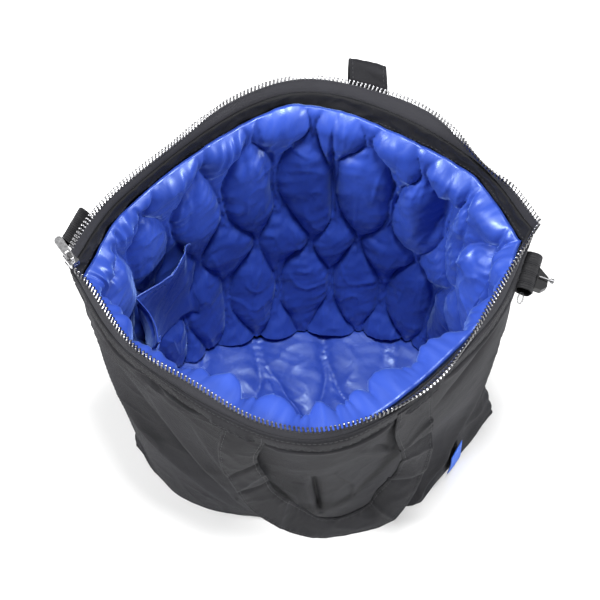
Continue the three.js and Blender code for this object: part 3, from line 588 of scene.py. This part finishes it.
def metal(name, dark, light, roughness, scale=400.0, scratch=0.00004):
    material, tree, shader = surface(name, roughness, 1.0)
    place = node(tree, "TexCoord").outputs["Object"]
    patch = node(tree, "TexNoise", {"Vector": place, "Scale": scale, "Detail": 3.0})
    tree.links.new(two_tone(tree, patch.outputs["Fac"], dark, light), shader.inputs["Base Color"])
    rough = node(tree, "MapRange", {"Value": patch.outputs["Fac"], "To Min": roughness * 0.75,
                                             "To Max": roughness * 1.3})
    tree.links.new(rough.outputs[0], shader.inputs["Roughness"])
    grain = node(tree, "TexNoise", {"Vector": place, "Scale": 3000.0, "Detail": 1.0})
    bump = node(tree, "Bump", {"Height": grain.outputs["Fac"], "Strength": 0.4, "Distance": scratch})
    tree.links.new(bump.outputs[0], shader.inputs["Normal"])
    return material


def moulded(name, colour, roughness):
    material, tree, shader = surface(name, roughness, Specular_IOR_Level=0.5)
    shader.inputs["Base Color"].default_value = (*colour, 1)
    place = node(tree, "TexCoord").outputs["Object"]
    grain = node(tree, "TexNoise", {"Vector": place, "Scale": 1800.0, "Detail": 2.0})
    bump = node(tree, "Bump", {"Height": grain.outputs["Fac"], "Strength": 0.35, "Distance": 0.0001})
    tree.links.new(bump.outputs[0], shader.inputs["Normal"])
    return material


TWILL = woven("charcoal_twill", (0.011, 0.011, 0.0125), (0.028, 0.028, 0.032), 0.62, 0.0011, 0.00025, 0.02,
              specular=0.06)
STRAP = woven("strap_twill", (0.011, 0.011, 0.0125), (0.030, 0.030, 0.034), 0.60, 0.0011, 0.00025, 0.02,
              specular=0.08)
FACING = woven("facing_twill", (0.006, 0.006, 0.007), (0.012, 0.012, 0.014), 0.75, 0.0009, 0.0002, 0.05,
               specular=0.25)
TAPE = woven("zip_tape_weave", (0.008, 0.008, 0.010), (0.026, 0.026, 0.031), 0.8, 0.0008, 0.0003, 0.08,
             melange=1.1, specular=0.25)
WEBBING = woven("ribbed_webbing", (0.010, 0.010, 0.011), (0.026, 0.026, 0.029), 0.6, 0.0016, 0.0005, 0.04,
                rib=True, specular=0.2)
THREAD = woven("black_thread", (0.012, 0.012, 0.014), (0.026, 0.026, 0.030), 0.5, 0.0006, 0.0001, 0.10)
SATIN = satin("blue_satin", (0.018, 0.046, 0.29), (0.036, 0.086, 0.47))
BLUE_THREAD = woven("blue_thread", (0.006, 0.02, 0.16), (0.012, 0.04, 0.26), 0.5, 0.0006, 0.0001, 0.1)
LABEL_WEAVE = woven("blue_label_weave", (0.014, 0.08, 0.46), (0.03, 0.14, 0.66), 0.7, 0.0007, 0.0002, 0.1)
GUNMETAL = metal("gunmetal", (0.09, 0.09, 0.095), (0.30, 0.30, 0.31), 0.30)
NICKEL = metal("bright_nickel", (0.40, 0.40, 0.41), (0.62, 0.62, 0.63), 0.26)
WIRE = metal("dull_wire", (0.16, 0.16, 0.17), (0.32, 0.32, 0.33), 0.36)
PLASTIC = moulded("black_plastic", (0.012, 0.012, 0.013), 0.42)


# Body, bands, facing, tapes

DEEPEST = -6.4                                         # of a crease in the twill


def panel_outer(u, v):
    return np.maximum(panel_relief(u, v) + hem(v, 0, V_PANEL_TOP, 0.010, 1.2), DEEPEST)


def panel_inner(u, v):
    """The twill's back: level, but behind the face where a crease is deeper than the cloth is thick."""
    nearby = [panel_outer(u + a, v + b) for a in (-0.0015, 0, 0.0015) for b in (-0.017, 0, 0.017)]
    return np.minimum(-CLOTH, np.min(nearby, axis=0) - 0.9)


HALVES = (("front", 0.5, 1.0), ("back", 0.0, 0.5))
SEAM_GAP = 0.00003                                     # of each half, as u


def span(low, high, count, fringe=0.004, steps=4):
    return edge_rows(low + SEAM_GAP, high - SEAM_GAP, count, fringe, steps)


PANEL_V = np.concatenate([edge_rows(0.0, 0.864, 126, 0.012)[:-4],
                          edge_rows(0.8655, V_PANEL_TOP - 0.001, 26, 0.003)[1:]])
for half, low, high in HALVES:
    piece = wall_cloth(half + "_panel_cloth", span(low, high, 300), PANEL_V, panel_outer, panel_inner, TWILL)
    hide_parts(half + "_panel")

BAND_V = edge_rows(V_PANEL_TOP + 0.0005, V_TAPE - 0.0007, 20, 0.004, 4)


def band_top(u, v):
    """The band creeps up over the zip tape in the middle of the front."""
    up = np.clip(up_band(v), 0, 1)
    top = 0.017 * bell(u - 0.75, 0.10) + 0.0016 * noise(u * ROUND / 34, 7.5, 15)
    foot = 0.0028 * noise(u * ROUND / 24, 2.5, 16)
    return v + top * smooth(0.35, 1.0, up) + foot * smooth(0.45, 0.0, up)


def band_outer(u, v):
    over = 0.9 * bell(u - 0.75, 0.12)
    return 1.1 + over + band_relief(u, v) + hem(v, BAND_V[0], BAND_V[-1], 0.004, 1.4)


def band_inner(u, v):
    up = up_band(v)
    over = 1.5 * bell(u - 0.75, 0.12) * smooth(0.4, 0.9, up)
    return 0.5 - BAND_CLOTH + over + root_lift(u) * smooth(0.9, 0.0, up) * 0.95


for half, low, high in HALVES:
    name = half + "_band"
    piece = wall_cloth(name + "_cloth", span(low, high, 420), BAND_V, band_outer, band_inner, TWILL,
                       warp=band_top)
    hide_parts(name)
    path_u = np.linspace(low + 0.003, high - 0.003, 900)
    for part, share in (("lower", 0.20), ("upper", 0.80)):
        level = np.full(path_u.shape, V_PANEL_TOP + share * (V_TAPE - V_PANEL_TOP))
        path = off(path_u, band_top(path_u, level), band_outer(path_u, level) + 0.1)
        stitches(f"{name}_{part}_stitches", path, outward(path_u, level), THREAD)

FACING_V = edge_rows(V_PANEL_TOP - 0.008, V_TAPE - 0.0007, 18, 0.004, 3)
FACING_OUT = 0.5 - BAND_CLOTH - GAP


def facing_face(u, v):
    s = u * ROUND
    up = up_band(v)
    wave = 1.7 * noise(s / 22, up * 1.5, 41) * smooth(1.0, 0.5, up) + 0.8 * crest(s / 19, up * 1.2, 43, 3)
    stitch = -0.4 * np.exp(-((up - 0.12) * 17 / 0.9) ** 2)
    edges = 0.9 * smooth(0.35, 0.0, up) + hem(v, FACING_V[0], FACING_V[-1], 0.004, 0.8)
    return FACING_OUT - FACING_CLOTH - 0.6 - wave - stitch - edges


def facing_edge(u, v):
    """The facing's lower edge wanders a little."""
    return v + 0.0045 * noise(u * ROUND / 21, 3.5, 44) * smooth(V_TAPE - 0.012, V_PANEL_TOP - 0.006, v)


piece = wall_cloth("mouth_facing_cloth", np.linspace(0, 1, 720, endpoint=False), FACING_V, facing_face,
                   lambda u, v: np.full(u.shape, FACING_OUT), FACING, closed=True, flip=True,
                   warp=facing_edge)
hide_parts("mouth_facing")
path_u = np.linspace(0, 1, 1800)
level = np.full(path_u.shape, V_PANEL_TOP + 0.12 * (V_TAPE - V_PANEL_TOP))
path = off(path_u, facing_edge(path_u, level), facing_face(path_u, level) - 0.1)
stitches("facing_stitches", path, -outward(path_u, level), THREAD)

TAPE_V = edge_rows(V_TAPE + 0.0007, V_TEETH - 0.0006, 12, 0.003, 3)


def tape_cord(v):
    return 0.75 * bell(v - 0.9868, 0.0022)


def tape_wave(u, v):
    return 0.35 * noise(u * ROUND / 30, v * RISE / 20, 45) * smooth(0.985, 0.97, v)


def tape_outer(u, v):
    return -0.4 + tape_cord(v) + tape_wave(u, v) + hem(v, TAPE_V[0], TAPE_V[-1], 0.0015, 0.4)


def tape_inner(u, v):
    return -0.4 - TAPE_CLOTH - tape_cord(v) + tape_wave(u, v)


for half, low, high in HALVES:
    piece = wall_cloth(half + "_zip_tape_weave", span(low, high, 300), TAPE_V, tape_outer, tape_inner, TAPE,
                       inner_step=1)
    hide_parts(half + "_zip_tape")


# Zip teeth: one moulded metal tooth after another along the tape's corded edge

TOOTH_PITCH = 3.6
TOOTH_RINGS = [  # place up the tooth, half width, half depth
    (-0.4, 0.62, 1.10), (0.0, 0.92, 1.42), (1.5, 0.98, 1.42), (2.5, 0.72, 1.20),
    (3.3, 1.00, 1.22), (4.0, 0.98, 1.10), (4.4, 0.66, 0.80),
]


def teeth(name, low, high):
    u = np.linspace(low, high, 4000)
    line = wall(u, 0.995)
    arc = np.concatenate([[0], np.cumsum(np.linalg.norm(np.diff(line, axis=0), axis=1))])
    places = np.interp(np.arange(TOOTH_PITCH / 2, arc[-1], TOOTH_PITCH), arc, u)
    root = off(places, 0.9885, -0.9)
    up = unit(wall(places, 1.0) - wall(places, 0.98))
    along = unit(wall(places + 0.003, 0.995) - wall(places - 0.003, 0.995))
    out = unit(np.cross(along, up))
    along = np.cross(up, out)
    lean = 0.06 * noise(np.arange(len(places)) * 1.7, 0.5, 51)[:, None]
    up = unit(up + along * lean)
    flat = 0.55                                        # share of a tooth's side between its bevels
    corners = [(1, flat), (flat, 1), (-flat, 1), (-1, flat), (-1, -flat), (-flat, -1), (flat, -1), (1, -flat)]
    points = []
    for rise, half, depth in TOOTH_RINGS:
        for x, y in corners:
            points.append(root + up * rise + along * (x * half) + out * (y * depth))
    points = np.stack(points, 1)
    count = len(TOOTH_RINGS)
    base = [[k * 8 + i, k * 8 + (i + 1) % 8, (k + 1) * 8 + (i + 1) % 8, (k + 1) * 8 + i]
            for k in range(count - 1) for i in range(8)]
    shift = (np.arange(len(places)) * count * 8)[:, None, None]
    faces = (np.array(base)[None] + shift).reshape(-1, 4).tolist()
    ends = [[7, 6, 5, 4, 3, 2, 1, 0], [count * 8 - 8 + i for i in range(8)]]
    faces += (np.array(ends)[None] + shift).reshape(-1, 8).tolist()
    piece = make_object(name + "_metal", points.reshape(-1, 3), faces, None, GUNMETAL, shade=False)
    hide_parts(name)


SLIDER_SPAN = 0.012
teeth("front_teeth", 0.5 + SLIDER_SPAN, 0.9995)
teeth("back_teeth", 0.0005, 0.5 - SLIDER_SPAN)


# Lining

LINING_OUT = -CLOTH - GAP
LINING_V = edge_rows(0.036, LINING_TOP, 150, 0.02, 5)


LAP = [  # u, and how far the lining's puffy top stands up over the facing there, as v
    (0.00, 0.004), (0.06, 0.010), (0.12, 0.012), (0.18, 0.016), (0.23, 0.026), (0.26, 0.034), (0.30, 0.020),
    (0.36, 0.016), (0.42, 0.010), (0.48, 0.004), (0.52, 0.004), (0.58, 0.024), (0.64, 0.046), (0.88, 0.046),
    (0.93, 0.034), (0.97, 0.018), (1.00, 0.006),
]


def lap(u, v):
    """The lining is lifted towards its top, more in some places than in others."""
    rise = np.interp(u % 1, *np.array(LAP).T)
    rise = rise + 0.005 * noise(u * ROUND / 30, 0.5, 38) + 0.003 * noise(u * ROUND / 11, 1.5, 39)
    return v + np.maximum(rise, 0.001) * smooth(0.80, LINING_TOP, v)


def lining_stand(u, v):
    """Where the lining laps over the facing it stands in front of it."""
    return 3.9 * smooth(0.80, 0.895, v)


def front_puffs(u, v):
    """Along the front the padding swells out below the lining's edge, one soft puff beside another."""
    puffs = 0.45 + 0.70 * np.abs(np.sin(np.pi * (u * ROUND / 47 + 0.7 * noise(u * ROUND / 90, 4.5, 40)))) ** 0.6
    puffs = 17 * puffs * front_share(u)
    return puffs * bell(v - 0.865, 0.055) * smooth(LINING_TOP + 0.002, 0.868, v)


def lining_back(u, v):
    """The lining's back clears the twill's creases."""
    return np.minimum(LINING_OUT - 0.3 - lining_stand(u, v), panel_inner(u, np.minimum(v, 0.88)) - GAP)


def lining_face(u, v):
    face = LINING_OUT - lining_relief(u, v) - lining_stand(u, v) - front_puffs(u, v)
    return np.minimum(face, lining_back(u, v) - 1.2)


for half, low, high in HALVES:
    piece = wall_cloth(f"lining_{half}_satin", span(low, high, 340), LINING_V, lining_face, lining_back, SATIN,
                       flip=True, warp=lap)
    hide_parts("lining_" + half)


def padded_floor():
    u = np.linspace(0, 1, 240, endpoint=False)
    edge = off(u, 0.012, LINING_OUT - 1.8)
    low = BASE_CLOTH + GAP
    rim = 1 - 0.04 * (1 - np.cos(np.linspace(0, np.pi / 2, 6)))
    shares = np.concatenate([rim, np.linspace(0.945, 0.02, 62)])
    points = []
    for k, share in enumerate(shares):
        p = edge * (share, share, 0)
        roll = math.sqrt(max(0.0, 1 - (1 - min(1.0, (1 - share) / 0.05)) ** 2))
        body = quilt(p[:, 0] / CELL_PITCH + 40.5, p[:, 1] + 300, 5.0, 60)
        small = 0.2 * noise(p[:, 0] / 14, p[:, 1] / 14, 61) + 0.9 * crest(p[:, 0] / 52, p[:, 1] / 44, 62, 4)
        p[:, 2] = low + 0.6 + roll * (3.6 + body + small)
        points.append(p)
    points.append(np.array([[0, 0, low + 9.0]]))
    under = edge * (1, 1, 0)
    under[:, 2] = low
    points.append(under)
    points.append(np.array([[0, 0, low]]))
    n, m = len(u), len(shares)
    i = np.arange(n)
    r = (i + 1) % n
    faces = []
    for k in range(m - 1):
        faces += np.stack([k * n + i, k * n + r, (k + 1) * n + r, (k + 1) * n + i], -1).tolist()
    top = m * n
    faces += np.stack([(m - 1) * n + i, (m - 1) * n + r, np.full(n, top)], -1).tolist()
    faces += np.stack([top + 1 + i, top + 1 + r, r, i], -1).tolist()
    faces += np.stack([top + 1 + r, top + 1 + i, np.full(n, top + 1 + n)], -1).tolist()
    points = np.concatenate(points)
    piece = make_object("lining_base_satin", points, faces, points[:, :2] * 0.001, SATIN)
    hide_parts("lining_base")


padded_floor()


# Pocket on the lining at the left end: two sagging mouths with a tack between them

POCKET_SEAMS = (20 / 56, 25 / 56, 31 / 56)
POCKET_SAGS = (18.0, 34.0)
POCKET_U = (POCKET_SEAMS[0], POCKET_SEAMS[-1])
POCKET_V = (0.24, 0.573)
POCKET_SEAT = SEAM_DEPTH + 9.6
POCKET_CLOTH = 1.6


def pocket_sag(u, v):
    up = np.clip((v - POCKET_V[0]) / (POCKET_V[1] - POCKET_V[0]), 0, 1)
    total = 0
    for low, high, sag in zip(POCKET_SEAMS[:-1], POCKET_SEAMS[1:], POCKET_SAGS):
        along = np.clip((u - low) / (high - low), 0, 1)
        total = total + sag * up**1.5 * np.sin(np.pi * along) ** 0.9
    return total


def pocket_face(u, v):
    s, t = u * ROUND, v * RISE
    up = np.clip((v - POCKET_V[0]) / (POCKET_V[1] - POCKET_V[0]), 0, 1)
    down = (POCKET_V[1] - v) * RISE
    soft = 1.6 * noise(s / 30, t / 34, 71) + 1.1 * crest(s / 40 + t / 60, t / 46, 72, 4)
    hem_roll = 2.2 * smooth(13, 11.5, down) - 0.9 * (bell(down - 3, 0.8) + bell(down - 11, 0.8))
    pucker = 0.35 * np.sin(2 * np.pi * s / 7.5) * bell(down - 11, 6)
    depth = POCKET_SEAT + pocket_sag(u, v) + soft * smooth(0, 0.2, up) + hem_roll + pucker
    edge = np.minimum(smooth(0, 0.010, u - POCKET_U[0]), smooth(0, 0.010, POCKET_U[1] - u))
    edge = edge * smooth(0, 0.05, up)
    cover = lining_relief(u, v) + 1.9
    depth = np.maximum(cover, cover + (depth - cover) * edge)
    return LINING_OUT - depth - hem(v, POCKET_V[0], POCKET_V[1], 0.006, 1.0)


def pocket_back(u, v):
    return pocket_face(u, v) + POCKET_CLOTH + hem(v, POCKET_V[0], POCKET_V[1], 0.006, 1.0)


pocket_v = edge_rows(POCKET_V[0], POCKET_V[1], 60, 0.008, 4)
pocket_u = edge_rows(POCKET_U[0], POCKET_U[1], 110, 0.004, 3)
piece = wall_cloth("inner_pocket_satin", pocket_u, pocket_v, pocket_face, pocket_back, SATIN,
                   inner_step=1, flip=True)
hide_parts("inner_pocket")
path_u = np.linspace(POCKET_U[0] + 0.004, POCKET_U[1] - 0.004, 300)
for part, drop in (("edge", 3.0), ("hem", 11.0)):
    level = np.full(path_u.shape, POCKET_V[1] - drop / RISE)
    stitches(f"pocket_{part}_stitches", off(path_u, level, pocket_face(path_u, level) - 0.15),
             -outward(path_u, level), BLUE_THREAD, step=3.4, length=2.5, radius=0.26)


# Base

def base_cloth():
    u = np.linspace(0, 1, 240, endpoint=False)
    edge = off(u, 0.0, -CLOTH - 0.9)
    shares = np.concatenate([[1.0, 0.994, 0.985], np.linspace(0.97, 0.03, 40)])
    top, under = [], []
    for share in shares:
        p = edge * (share, share, 0)
        lift = BASE_CLOTH + 0.25 * noise(p[:, 0] / 30, p[:, 1] / 30, 81)
        round_edge = smooth(1.0, 0.985, share)
        upper, lower = p.copy(), p.copy()
        upper[:, 2] = 0.8 + (lift - 0.8) * round_edge
        uneven = 0.25 * np.abs(noise(p[:, 0] / 45, p[:, 1] / 45, 82))
        lower[:, 2] = 0.8 * (1 - round_edge) + uneven * smooth(0.95, 0.7, share)
        top.append(upper)
        under.append(lower)
    m, n = len(shares), len(u)
    points = np.concatenate(top + under + [np.array([[0, 0, BASE_CLOTH], [0, 0, 0.1]])])
    i = np.arange(n)
    r = (i + 1) % n
    faces = []
    for k in range(m - 1):
        faces += np.stack([k * n + i, k * n + r, (k + 1) * n + r, (k + 1) * n + i], -1).tolist()
        a, b = (m + k) * n, (m + k + 1) * n
        faces += np.stack([a + r, a + i, b + i, b + r], -1).tolist()
    faces += np.stack([m * n + i, m * n + r, r, i], -1).tolist()
    last = 2 * m * n
    faces += np.stack([(m - 1) * n + i, (m - 1) * n + r, np.full(n, last)], -1).tolist()
    faces += np.stack([(2 * m - 1) * n + r, (2 * m - 1) * n + i, np.full(n, last + 1)], -1).tolist()
    piece = make_object("base_panel_cloth", points, faces, points[:, :2] * 0.001, TWILL)
    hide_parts("base_panel")


base_cloth()


# Handles

HANDLE_CLOTH = 2.4
FRONT_HANDLE = [  # outer edge x, y, z and inner edge x, y, z
    (-75, -143.5, 297, -44, -160, 296), (-77, -141.4, 283, -45, -158.5, 282), (-83, -142, 247, -51, -155, 258),
    (-81, -144, 212, -51, -149, 230), (-73, -145, 180, -45, -146, 202), (-63, -146, 140, -40, -141, 166),
    (-45, -147, 105, -27, -140, 136), (-23, -148, 75, -14, -136, 107), (4, -145, 50, 5, -139, 84),
    (32, -143, 50, 28, -138, 84), (60, -141, 58, 47, -132, 92), (76, -143, 88, 54, -132, 117),
    (92, -133, 126, 64, -133, 143), (100, -127, 162, 71, -131, 160), (100, -121, 212, 71, -138, 200),
    (95, -123, 250, 61, -145, 256), (93, -124.8, 283, 61.5, -146.2, 283), (92, -126.5, 297, 61, -148.0, 297),
]
BACK_HANDLE = [
    (86.8, 135, 300, 54.6, 150, 300), (87, 145, 318, 55, 159, 318), (88, 157, 333, 56, 170, 334),
    (88, 166, 341, 56, 178, 342), (88, 173, 337, 56, 185, 338), (88, 173, 312, 56, 184, 313),
    (88, 164, 270, 56, 176, 275), (84, 153, 215, 55, 165, 232), (70, 148, 160, 47, 153, 186),
    (42, 148, 124, 30, 150, 156), (6, 147, 112, 5, 149, 146), (-32, 147, 124, -20, 150, 156),
    (-62, 144, 156, -40, 152, 184), (-80, 139, 205, -51, 153, 222), (-86, 134, 252, -55, 150, 259),
    (-86.5, 131.6, 281, -56, 147, 283), (-86.8, 126.2, 300, -56.8, 143.4, 300),
    (-86.8, 124.5, 308, -56.8, 141.8, 308),
]
FRONT_CREASES = [  # place along the strap, width and rise
    (0.16, 4, -1.5), (0.205, 5, 1.4), (0.235, 4, -1.2), (0.36, 5, 1.0), (0.60, 5, 1.1), (0.70, 4, -1.3),
    (0.795, 5, 1.6), (0.83, 4, -1.6), (0.865, 5, 1.3),
]
BACK_CREASES = [
    (0.09, 4, -0.8), (0.36, 5, 1.2), (0.44, 4, -1.2), (0.55, 5, 1.0), (0.66, 5, 1.1), (0.80, 4, -1.3),
    (0.86, 5, 1.3),
]


def resample(table, count):
    """Rows along a smooth curve through the table's rows, evenly spaced."""
    rows = np.array(table, float)
    padded_rows = np.concatenate([2 * rows[:1] - rows[1:2], rows, 2 * rows[-1:] - rows[-2:-1]])
    t = (np.arange(24) / 24)[:, None]
    dense = []
    for a, b, c, d in zip(padded_rows[:-3], padded_rows[1:-2], padded_rows[2:-1], padded_rows[3:]):
        dense.append(0.5 * (2 * b + (c - a) * t + (2 * a - 5 * b + 4 * c - d) * t**2
                            + (3 * b - a - 3 * c + d) * t**3))
    dense = np.concatenate(dense + [rows[-1:]])
    middle = (dense[:, :3] + dense[:, 3:]) / 2
    arc = np.concatenate([[0], np.cumsum(np.linalg.norm(np.diff(middle, axis=0), axis=1))])
    places = np.linspace(0, arc[-1], count)
    return places, np.stack([np.interp(places, arc, dense[:, k]) for k in range(6)], -1)


def strap(name, table, creases, seed):
    """A doubled strap: rounded edges with stitching near them, creases across it and a slight twist of slack."""
    count, across = 340, 18
    places, rows = resample(table, count)
    outer_edge, inner_edge = rows[:, :3], rows[:, 3:]
    middle = (outer_edge + inner_edge) / 2
    along = unit(np.gradient(middle, axis=0))
    normal = unit(np.cross(along, inner_edge - outer_edge))
    width = np.linalg.norm(inner_edge - outer_edge, axis=1)
    y = 0.5 * (1 - np.cos(np.linspace(0, np.pi, across)))
    share = places / places[-1]
    edge = np.minimum(y[None], 1 - y[None]) * width[:, None]
    body = HANDLE_CLOTH / 2 * np.sqrt(np.clip(1 - (1 - np.clip(edge / 1.6, 0, 1)) ** 2, 0, 1))
    body = body + 0.55 * smooth(1, 9, edge) - 0.4 * bell(edge - 3.2, 0.8)
    pucker = 0.18 * np.sin(places[:, None] / 8.0 * 2 * np.pi) * bell(edge - 3.2, 3.0)
    lift = np.zeros((count, across))
    for place, wide, rise in creases:
        skew = (y[None] - 0.5) * 14 * (1 if int(place * 100) % 2 else -1)
        x = (share[:, None] - place) * places[-1] - skew
        lift += 1.5 * rise * np.exp(-np.abs(x / (wide * np.where(x > 0, 0.7, 1.6))) ** 1.3)
    ends = smooth(0, 0.06, share) * smooth(1, 0.94, share)
    slack = 1.3 * noise(places[:, None] / 46, y[None] * 1.4, seed)
    slack = slack + 0.7 * crest(places[:, None] / 30, y[None] * 2, seed + 1, 3)
    lift = (lift + slack) * ends[:, None]
    flat = outer_edge[:, None] + (inner_edge - outer_edge)[:, None] * y[None, :, None]
    face = flat + normal[:, None] * (lift + body + pucker)[..., None]
    rear = flat + normal[:, None] * (lift - body - pucker)[..., None]
    rings = np.concatenate([face, rear[:, ::-1]], axis=1)
    uvs = np.stack([np.broadcast_to(places[:, None], (count, across)), y[None] * width[:, None]], -1)
    uvs = np.concatenate([uvs, uvs[:, ::-1]], axis=1) * 0.001
    piece = make_object(name + "_cloth", rings.reshape(-1, 3), ring_faces(count, 2 * across, False),
                        uvs.reshape(-1, 2), STRAP)
    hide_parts(name)
    for side, label in ((3.2, "outer"), (-3.2, "inner")):
        at = (side if side > 0 else width + side) / width
        path = outer_edge + (inner_edge - outer_edge) * at[:, None]
        for face_name, sign in (("front", 1), ("rear", -1)):
            bend = np.stack([np.interp(a, y, row) for a, row in zip(at, lift + sign * body)])
            stitches(f"{name}_{label}_{face_name}_stitches", path + normal * (bend + sign * 0.1)[:, None],
                     normal * sign, THREAD)


strap("front_handle", FRONT_HANDLE, FRONT_CREASES, 90)
strap("back_handle", BACK_HANDLE, BACK_CREASES, 95)


# Webbing loops at the two ends

LOOP_CLOTH = 1.6


def webbing_loop(name, u, width, reach, height, tilt, sink=0.0):
    """A flat tube of webbing sewn under the band, its ribs running round it."""
    place, level = np.array([u]), np.array([V_PANEL_TOP])
    root = off(place, level - 0.012, np.array([GAP + 0.2]))[0]
    n = outward(place, level)[0] * (1, 1, 0)
    n = n / np.linalg.norm(n)
    across = np.array([n[1], -n[0], 0])
    out = n * math.cos(tilt) + np.array([0, 0, math.sin(tilt)])
    up = np.cross(across, out)
    centre = root + out * (reach / 2 + sink)
    sides, count = 64, int(width / 0.4)
    a = np.linspace(0, 2 * np.pi, sides, endpoint=False)
    squash = lambda x: np.sign(x) * np.abs(x) ** 0.7
    t = np.linspace(-width / 2, width / 2, count)
    edge = np.minimum(t + width / 2, width / 2 - t)
    rib = 0.32 * np.sin(2 * np.pi * t / 1.9)
    thick = LOOP_CLOTH / 2 * np.sqrt(np.clip(1 - (1 - np.clip(edge / 0.9, 0, 1)) ** 2, 0, 1))
    dent = 0.5 * noise(a / 0.9, 0.5, 97)
    rings = []
    for k, angle in enumerate(a):
        c, s = squash(math.cos(angle)), squash(math.sin(angle))
        middle = centre + out * (c * (reach / 2 - LOOP_CLOTH / 2)) + up * (s * (height / 2 - LOOP_CLOTH / 2))
        way = unit(out * (c * height) + up * (s * reach))
        outer = middle + across * t[:, None] + way * (thick + rib + dent[k])[:, None]
        inner = middle + across * t[:, None] + way * (dent[k] - thick - rib)[:, None]
        rings.append(np.concatenate([outer, inner[::-1]]))
    rings = np.stack(rings)
    girth = a / (2 * np.pi) * 2 * (reach + height) * 0.8
    uvs = np.stack([np.broadcast_to(np.concatenate([t, t[::-1]])[None], rings.shape[:2]),
                    np.broadcast_to(girth[:, None], rings.shape[:2])], -1) * 0.001
    piece = make_object(name + "_webbing", rings.reshape(-1, 3), ring_faces(sides, 2 * count, True),
                        uvs.reshape(-1, 2), WEBBING)
    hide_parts(name)


webbing_loop("right_loop", 0.975, 38, 15, 12, -0.15)
webbing_loop("left_loop", 0.464, 34, 26, 7, 0.85, 1.5)


# Label: a plain folded tag

LABEL_V = edge_rows(0.017, 0.155, 30, 0.004, 4)
LABEL_U = edge_rows(0.9075, 0.932, 24, 0.002, 4)


def label_outer(u, v):
    ends = hem(v, LABEL_V[0], LABEL_V[-1], 0.003, 0.45)
    border = -0.22 * np.exp(-(np.minimum(v - LABEL_V[0], LABEL_V[-1] - v) * RISE / 3 - 1) ** 2 * 12)
    wave = 0.35 * noise(u * ROUND / 14, v * RISE / 16, 99)
    return 1.6 + np.clip(panel_relief(u, v), 0, 3) * 0.5 + wave + ends + border


def label_inner(u, v):
    return 0.5 + np.clip(panel_relief(u, v), 0, 3) * 0.5


piece = wall_cloth("side_label_weave", LABEL_U, LABEL_V, label_outer, label_inner, LABEL_WEAVE)
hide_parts("side_label")


# Hard pieces: the frame's own solids, with softened edges and their metal or plastic

def dress(name, material, bevel=0.0, segments=2, rounded=False):
    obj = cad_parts[name]
    obj.data.materials.clear()
    obj.data.materials.append(material)
    if bevel:
        edge = obj.modifiers.new("edge", "BEVEL")
        edge.width = bevel * 0.001
        edge.segments = segments
        edge.limit_method = "ANGLE"
        edge.angle_limit = math.radians(40)
    if rounded:
        level = obj.modifiers.new("round", "SUBSURF")
        level.levels = level.render_levels = 1


dress("slider_body", NICKEL, 0.35)
dress("pull_tab", NICKEL, 0.3)
dress("side_hook", PLASTIC, 0.9, 3)
dress("hook_pin", WIRE, 0.3)
dress("loop_link", WIRE, rounded=True)


# Floor, light and camera

def stage_floor():
    mesh = bpy.data.meshes.new("studio_floor")
    mesh.from_pydata([(-6, -6, 0), (6, -6, 0), (6, 6, 0), (-6, 6, 0)], [], [(0, 1, 2, 3)])
    floor = bpy.data.objects.new("studio_floor", mesh)
    bpy.context.scene.collection.objects.link(floor)
    material, tree, shader = surface("pale_floor", 0.9)
    shader.inputs["Base Color"].default_value = (0.93, 0.93, 0.93, 1)
    mesh.materials.append(material)


def area_light(name, place, aim, size, power, colour=(1, 1, 1)):
    data = bpy.data.lights.new(name, "AREA")
    data.shape = "DISK"
    data.size = size
    data.energy = power
    data.color = colour
    light = bpy.data.objects.new(name, data)
    light.location = place
    light.rotation_euler = (Vector(aim) - Vector(place)).to_track_quat("-Z", "Y").to_euler()
    bpy.context.scene.collection.objects.link(light)


def stage_camera():
    azimuth, elevation, distance = math.radians(-5), math.radians(58), 1.3
    target = Vector((-0.00269, 0.01670, 0.200))
    back = Vector((math.sin(azimuth) * math.cos(elevation), -math.cos(azimuth) * math.cos(elevation),
                   math.sin(elevation)))
    data = bpy.data.cameras.new("camera")
    data.lens = 85.8
    data.sensor_width = 36
    camera = bpy.data.objects.new("camera", data)
    camera.location = target + back * distance
    camera.rotation_euler = back.to_track_quat("Z", "Y").to_euler()
    bpy.context.scene.collection.objects.link(camera)
    bpy.context.scene.camera = camera


stage_floor()
area_light("key_light", (-1.75, -0.2, 1.35), (0, 0, 0.15), 0.45, 54)
area_light("fill_light", (1.7, -0.75, 1.0), (0, 0, 0.15), 0.5, 39)
area_light("top_light", (0.1, -0.1, 2.1), (0, 0.05, 0.2), 0.5, 46)
world = bpy.data.worlds.new("studio")
world.use_nodes = True
world.node_tree.nodes["Background"].inputs["Color"].default_value = (1, 1, 1, 1)
world.node_tree.nodes["Background"].inputs["Strength"].default_value = 0.15
bpy.context.scene.world = world
bpy.context.scene.view_settings.view_transform = "Standard"
stage_camera()
